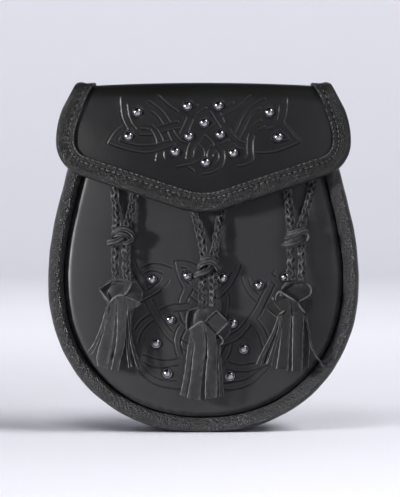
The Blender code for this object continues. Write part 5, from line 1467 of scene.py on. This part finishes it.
loops = {side: belt_loop(side, x) for side, x in LOOP_PLACES.items()}
rows = []
for x in LOOP_PLACES.values():
    for low in (loop_low, loop_high - LOOP_FOOT):
        box = [(x - 0.0115, low + 0.0018), (x + 0.0115, low + 0.0018), (x + 0.0115, low + 0.0066), (x - 0.0115, low + 0.0066), (x - 0.0115, low + 0.0018)]
        for a, b in zip(box, box[1:]):
            rows.append(flat_row([a, b], loop_base + LOOP_LEATHER / 2, (0.0, 1.0, 0.0)))
loop_stitches = sew("belt_loop_stitches", rows, length=0.0021)

# %% [markdown]
# ## The domed studs
# Each stud is a polished dome on a thin collar. It is modelled once at the origin: half a sphere is squashed, its
# open foot is widened into a collar, and the collar is turned down. Each copy gets its own mesh, turned to the
# leather under it.

# %% Model one stud
STUD_RADIUS, STUD_HEIGHT = 0.0028, 0.0022
deselect()
bpy.ops.mesh.primitive_uv_sphere_add(segments=32, ring_count=20, radius=1.0)
stud = bpy.context.object
stud.name = "stud_pattern"
bpy.ops.object.mode_set(mode="EDIT")
bpy.ops.mesh.select_all(action="SELECT")
bpy.ops.mesh.bisect(plane_co=(0, 0, 0.12), plane_no=(0, 0, 1), clear_inner=True)
bpy.ops.mesh.select_all(action="SELECT")
bpy.ops.transform.resize(value=(0.90 * STUD_RADIUS, 0.90 * STUD_RADIUS, 0.96 * STUD_HEIGHT))
bpy.ops.mesh.select_all(action="DESELECT")
bpy.ops.mesh.select_non_manifold(extend=False)
for scale, drop in ((1.0, -0.00012), (1.095, -0.00002), (1.01, -0.00022)):
    bpy.ops.mesh.extrude_edges_move(TRANSFORM_OT_translate={"value": (0, 0, drop)})
    bpy.ops.transform.resize(value=(scale, scale, 1.0))
bpy.ops.mesh.edge_face_add()
bpy.ops.mesh.select_all(action="SELECT")
bpy.ops.mesh.normals_make_consistent(inside=False)
bpy.ops.object.mode_set(mode="OBJECT")
stud_points = np.empty(len(stud.data.vertices) * 3)
stud.data.vertices.foreach_get("co", stud_points)
stud_points = stud_points.reshape(-1, 3)
stud_points[:, 2] -= stud_points[:, 2].min()
print("stud", [round(1000 * v, 2) for v in np.ptp(stud_points, axis=0)], "mm")

# %% Set the studs on the leather
def set_stud(name, foot, normal):
    turn = np.array(Vector(normal).to_track_quat("Z", "Y").to_matrix())
    mesh = stud.data.copy()
    mesh.name = name + "_domed"
    mesh.vertices.foreach_set("co", (stud_points @ turn.T + foot).reshape(-1))
    obj = bpy.data.objects.new(name + "_domed", mesh)
    bpy.context.scene.collection.objects.link(obj)
    obj.data.materials.clear()
    return finish_piece(obj, [chrome], [name], angle=50)


for number, (x, z) in enumerate(flap_stud_places, 1):
    walked = walk_at_height(z)
    foot, above = (flap_point(np.array([x]), np.array([walked]), h)[0] for h in (LEATHER / 2, LEATHER / 2 + 0.001))
    set_stud(f"stud_flap_{number:02d}", foot, above - foot)
for number, (x, z) in enumerate(front_stud_places, 1):
    step = 0.001
    sideways = np.array([2 * step, float(panel_y(x + step, z) - panel_y(x - step, z)), 0.0])
    upwards = np.array([0.0, float(panel_y(x, z + step) - panel_y(x, z - step)), 2 * step])
    normal = np.cross(sideways, upwards)
    set_stud(f"stud_front_{number:02d}", np.array([x, float(panel_y(x, z)), z]), normal)
bpy.data.objects.remove(stud)

# %% [markdown]
# ## Floor, backdrop and light
# The pouch stands on a pale sheet of paper that curves up behind it. A large soft light stands at the left at about
# the camera's height, a weaker one at the right, and one above lights the paper.

# %% Paper sweep
paper = bpy.data.materials.new("pale_paper")
paper.use_nodes = True
tree = paper.node_tree
where = add_node(tree, "ShaderNodeTexCoord").outputs["Object"]
fibres = add_node(tree, "ShaderNodeTexNoise", {"Vector": where, "Scale": 4.0, "Detail": 2.0})
tone = add_node(tree, "ShaderNodeMix", {"Factor": fibres.outputs[0], "A": (0.80, 0.80, 0.86, 1.0), "B": (0.83, 0.83, 0.89, 1.0)}, data_type="RGBA")
tree.links.new(tone.outputs[2], tree.nodes["Principled BSDF"].inputs["Base Color"])
tree.nodes["Principled BSDF"].inputs["Roughness"].default_value = 0.9
sweep_line = rounded_path([(0.0, -0.0002), (2.1, -0.0002), (2.3, 2.0)], (0.5,), 24)
deselect()
bpy.ops.mesh.primitive_grid_add(x_subdivisions=72, y_subdivisions=len(sweep_line) - 1, size=2.0)
floor = bpy.context.object
floor.name = "paper_sweep"
co = np.empty(len(floor.data.vertices) * 3)
floor.data.vertices.foreach_get("co", co)
co = co.reshape(-1, 3)
row = np.rint((co[:, 1] + 1) / 2 * (len(sweep_line) - 1)).astype(int)
angle = math.pi * co[:, 0]
floor.data.vertices.foreach_set("co", np.stack([sweep_line[row, 0] * np.sin(angle), sweep_line[row, 0] * np.cos(angle), sweep_line[row, 1]], axis=1).reshape(-1))
floor.data.update()
floor.data.shade_smooth()
floor.data.materials.append(paper)
floor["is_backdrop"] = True

# %% Lights
def soft_light(name, place, aim_at, size, power, spread=180.0):
    data = bpy.data.lights.new(name, "AREA")
    data.shape, data.size, data.size_y = "RECTANGLE", size[0], size[1]
    data.energy, data.spread = power, math.radians(spread)
    obj = bpy.data.objects.new(name, data)
    bpy.context.scene.collection.objects.link(obj)
    obj.location = place
    obj.rotation_euler = (Vector(aim_at) - Vector(place)).to_track_quat("-Z", "Y").to_euler()
    return obj


left_softbox = soft_light("left_softbox", (-1.08, -0.64, 0.34), (0.0, 0.0, 0.10), (0.14, 0.18), 27.0)
soft_light("right_fill", (0.85, -1.25, 0.40), (0.0, 0.0, 0.10), (0.5, 0.7), 1.9)
backdrop_light = soft_light("backdrop_light", (0.0, 0.40, 1.15), (0.0, 2.05, 0.62), (1.6, 0.4), 24.0)
floor_light = soft_light("floor_light_front", (-0.3, -0.75, 1.3), (0.0, -0.60, 0.0), (0.8, 0.8), 2.7, 70.0)
soft_light("floor_light", (1.1, -0.30, 1.3), (0.0, -0.1, 0.0), (0.8, 0.8), 2.0, 70.0)
spared = bpy.data.collections.new("paper_spared_by_the_softbox")
spared.objects.link(floor)
spared.collection_objects[0].light_linking.link_state = "EXCLUDE"
left_softbox.light_linking.receiver_collection = spared
lit = bpy.data.collections.new("paper_lit_alone")
lit.objects.link(floor)
backdrop_light.light_linking.receiver_collection = lit
floor_light.light_linking.receiver_collection = lit
world = bpy.data.worlds.new("studio")
world.use_nodes = True
world.node_tree.nodes["Background"].inputs["Color"].default_value = (0.86, 0.87, 0.93, 1.0)
world.node_tree.nodes["Background"].inputs["Strength"].default_value = 0.03
bpy.context.scene.world = world
bpy.context.scene.view_settings.view_transform = "Standard"

# %% Measure and finish
low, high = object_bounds()
print("visual box in mm:", [round(1000 * v, 1) for v in (*low, *high)])
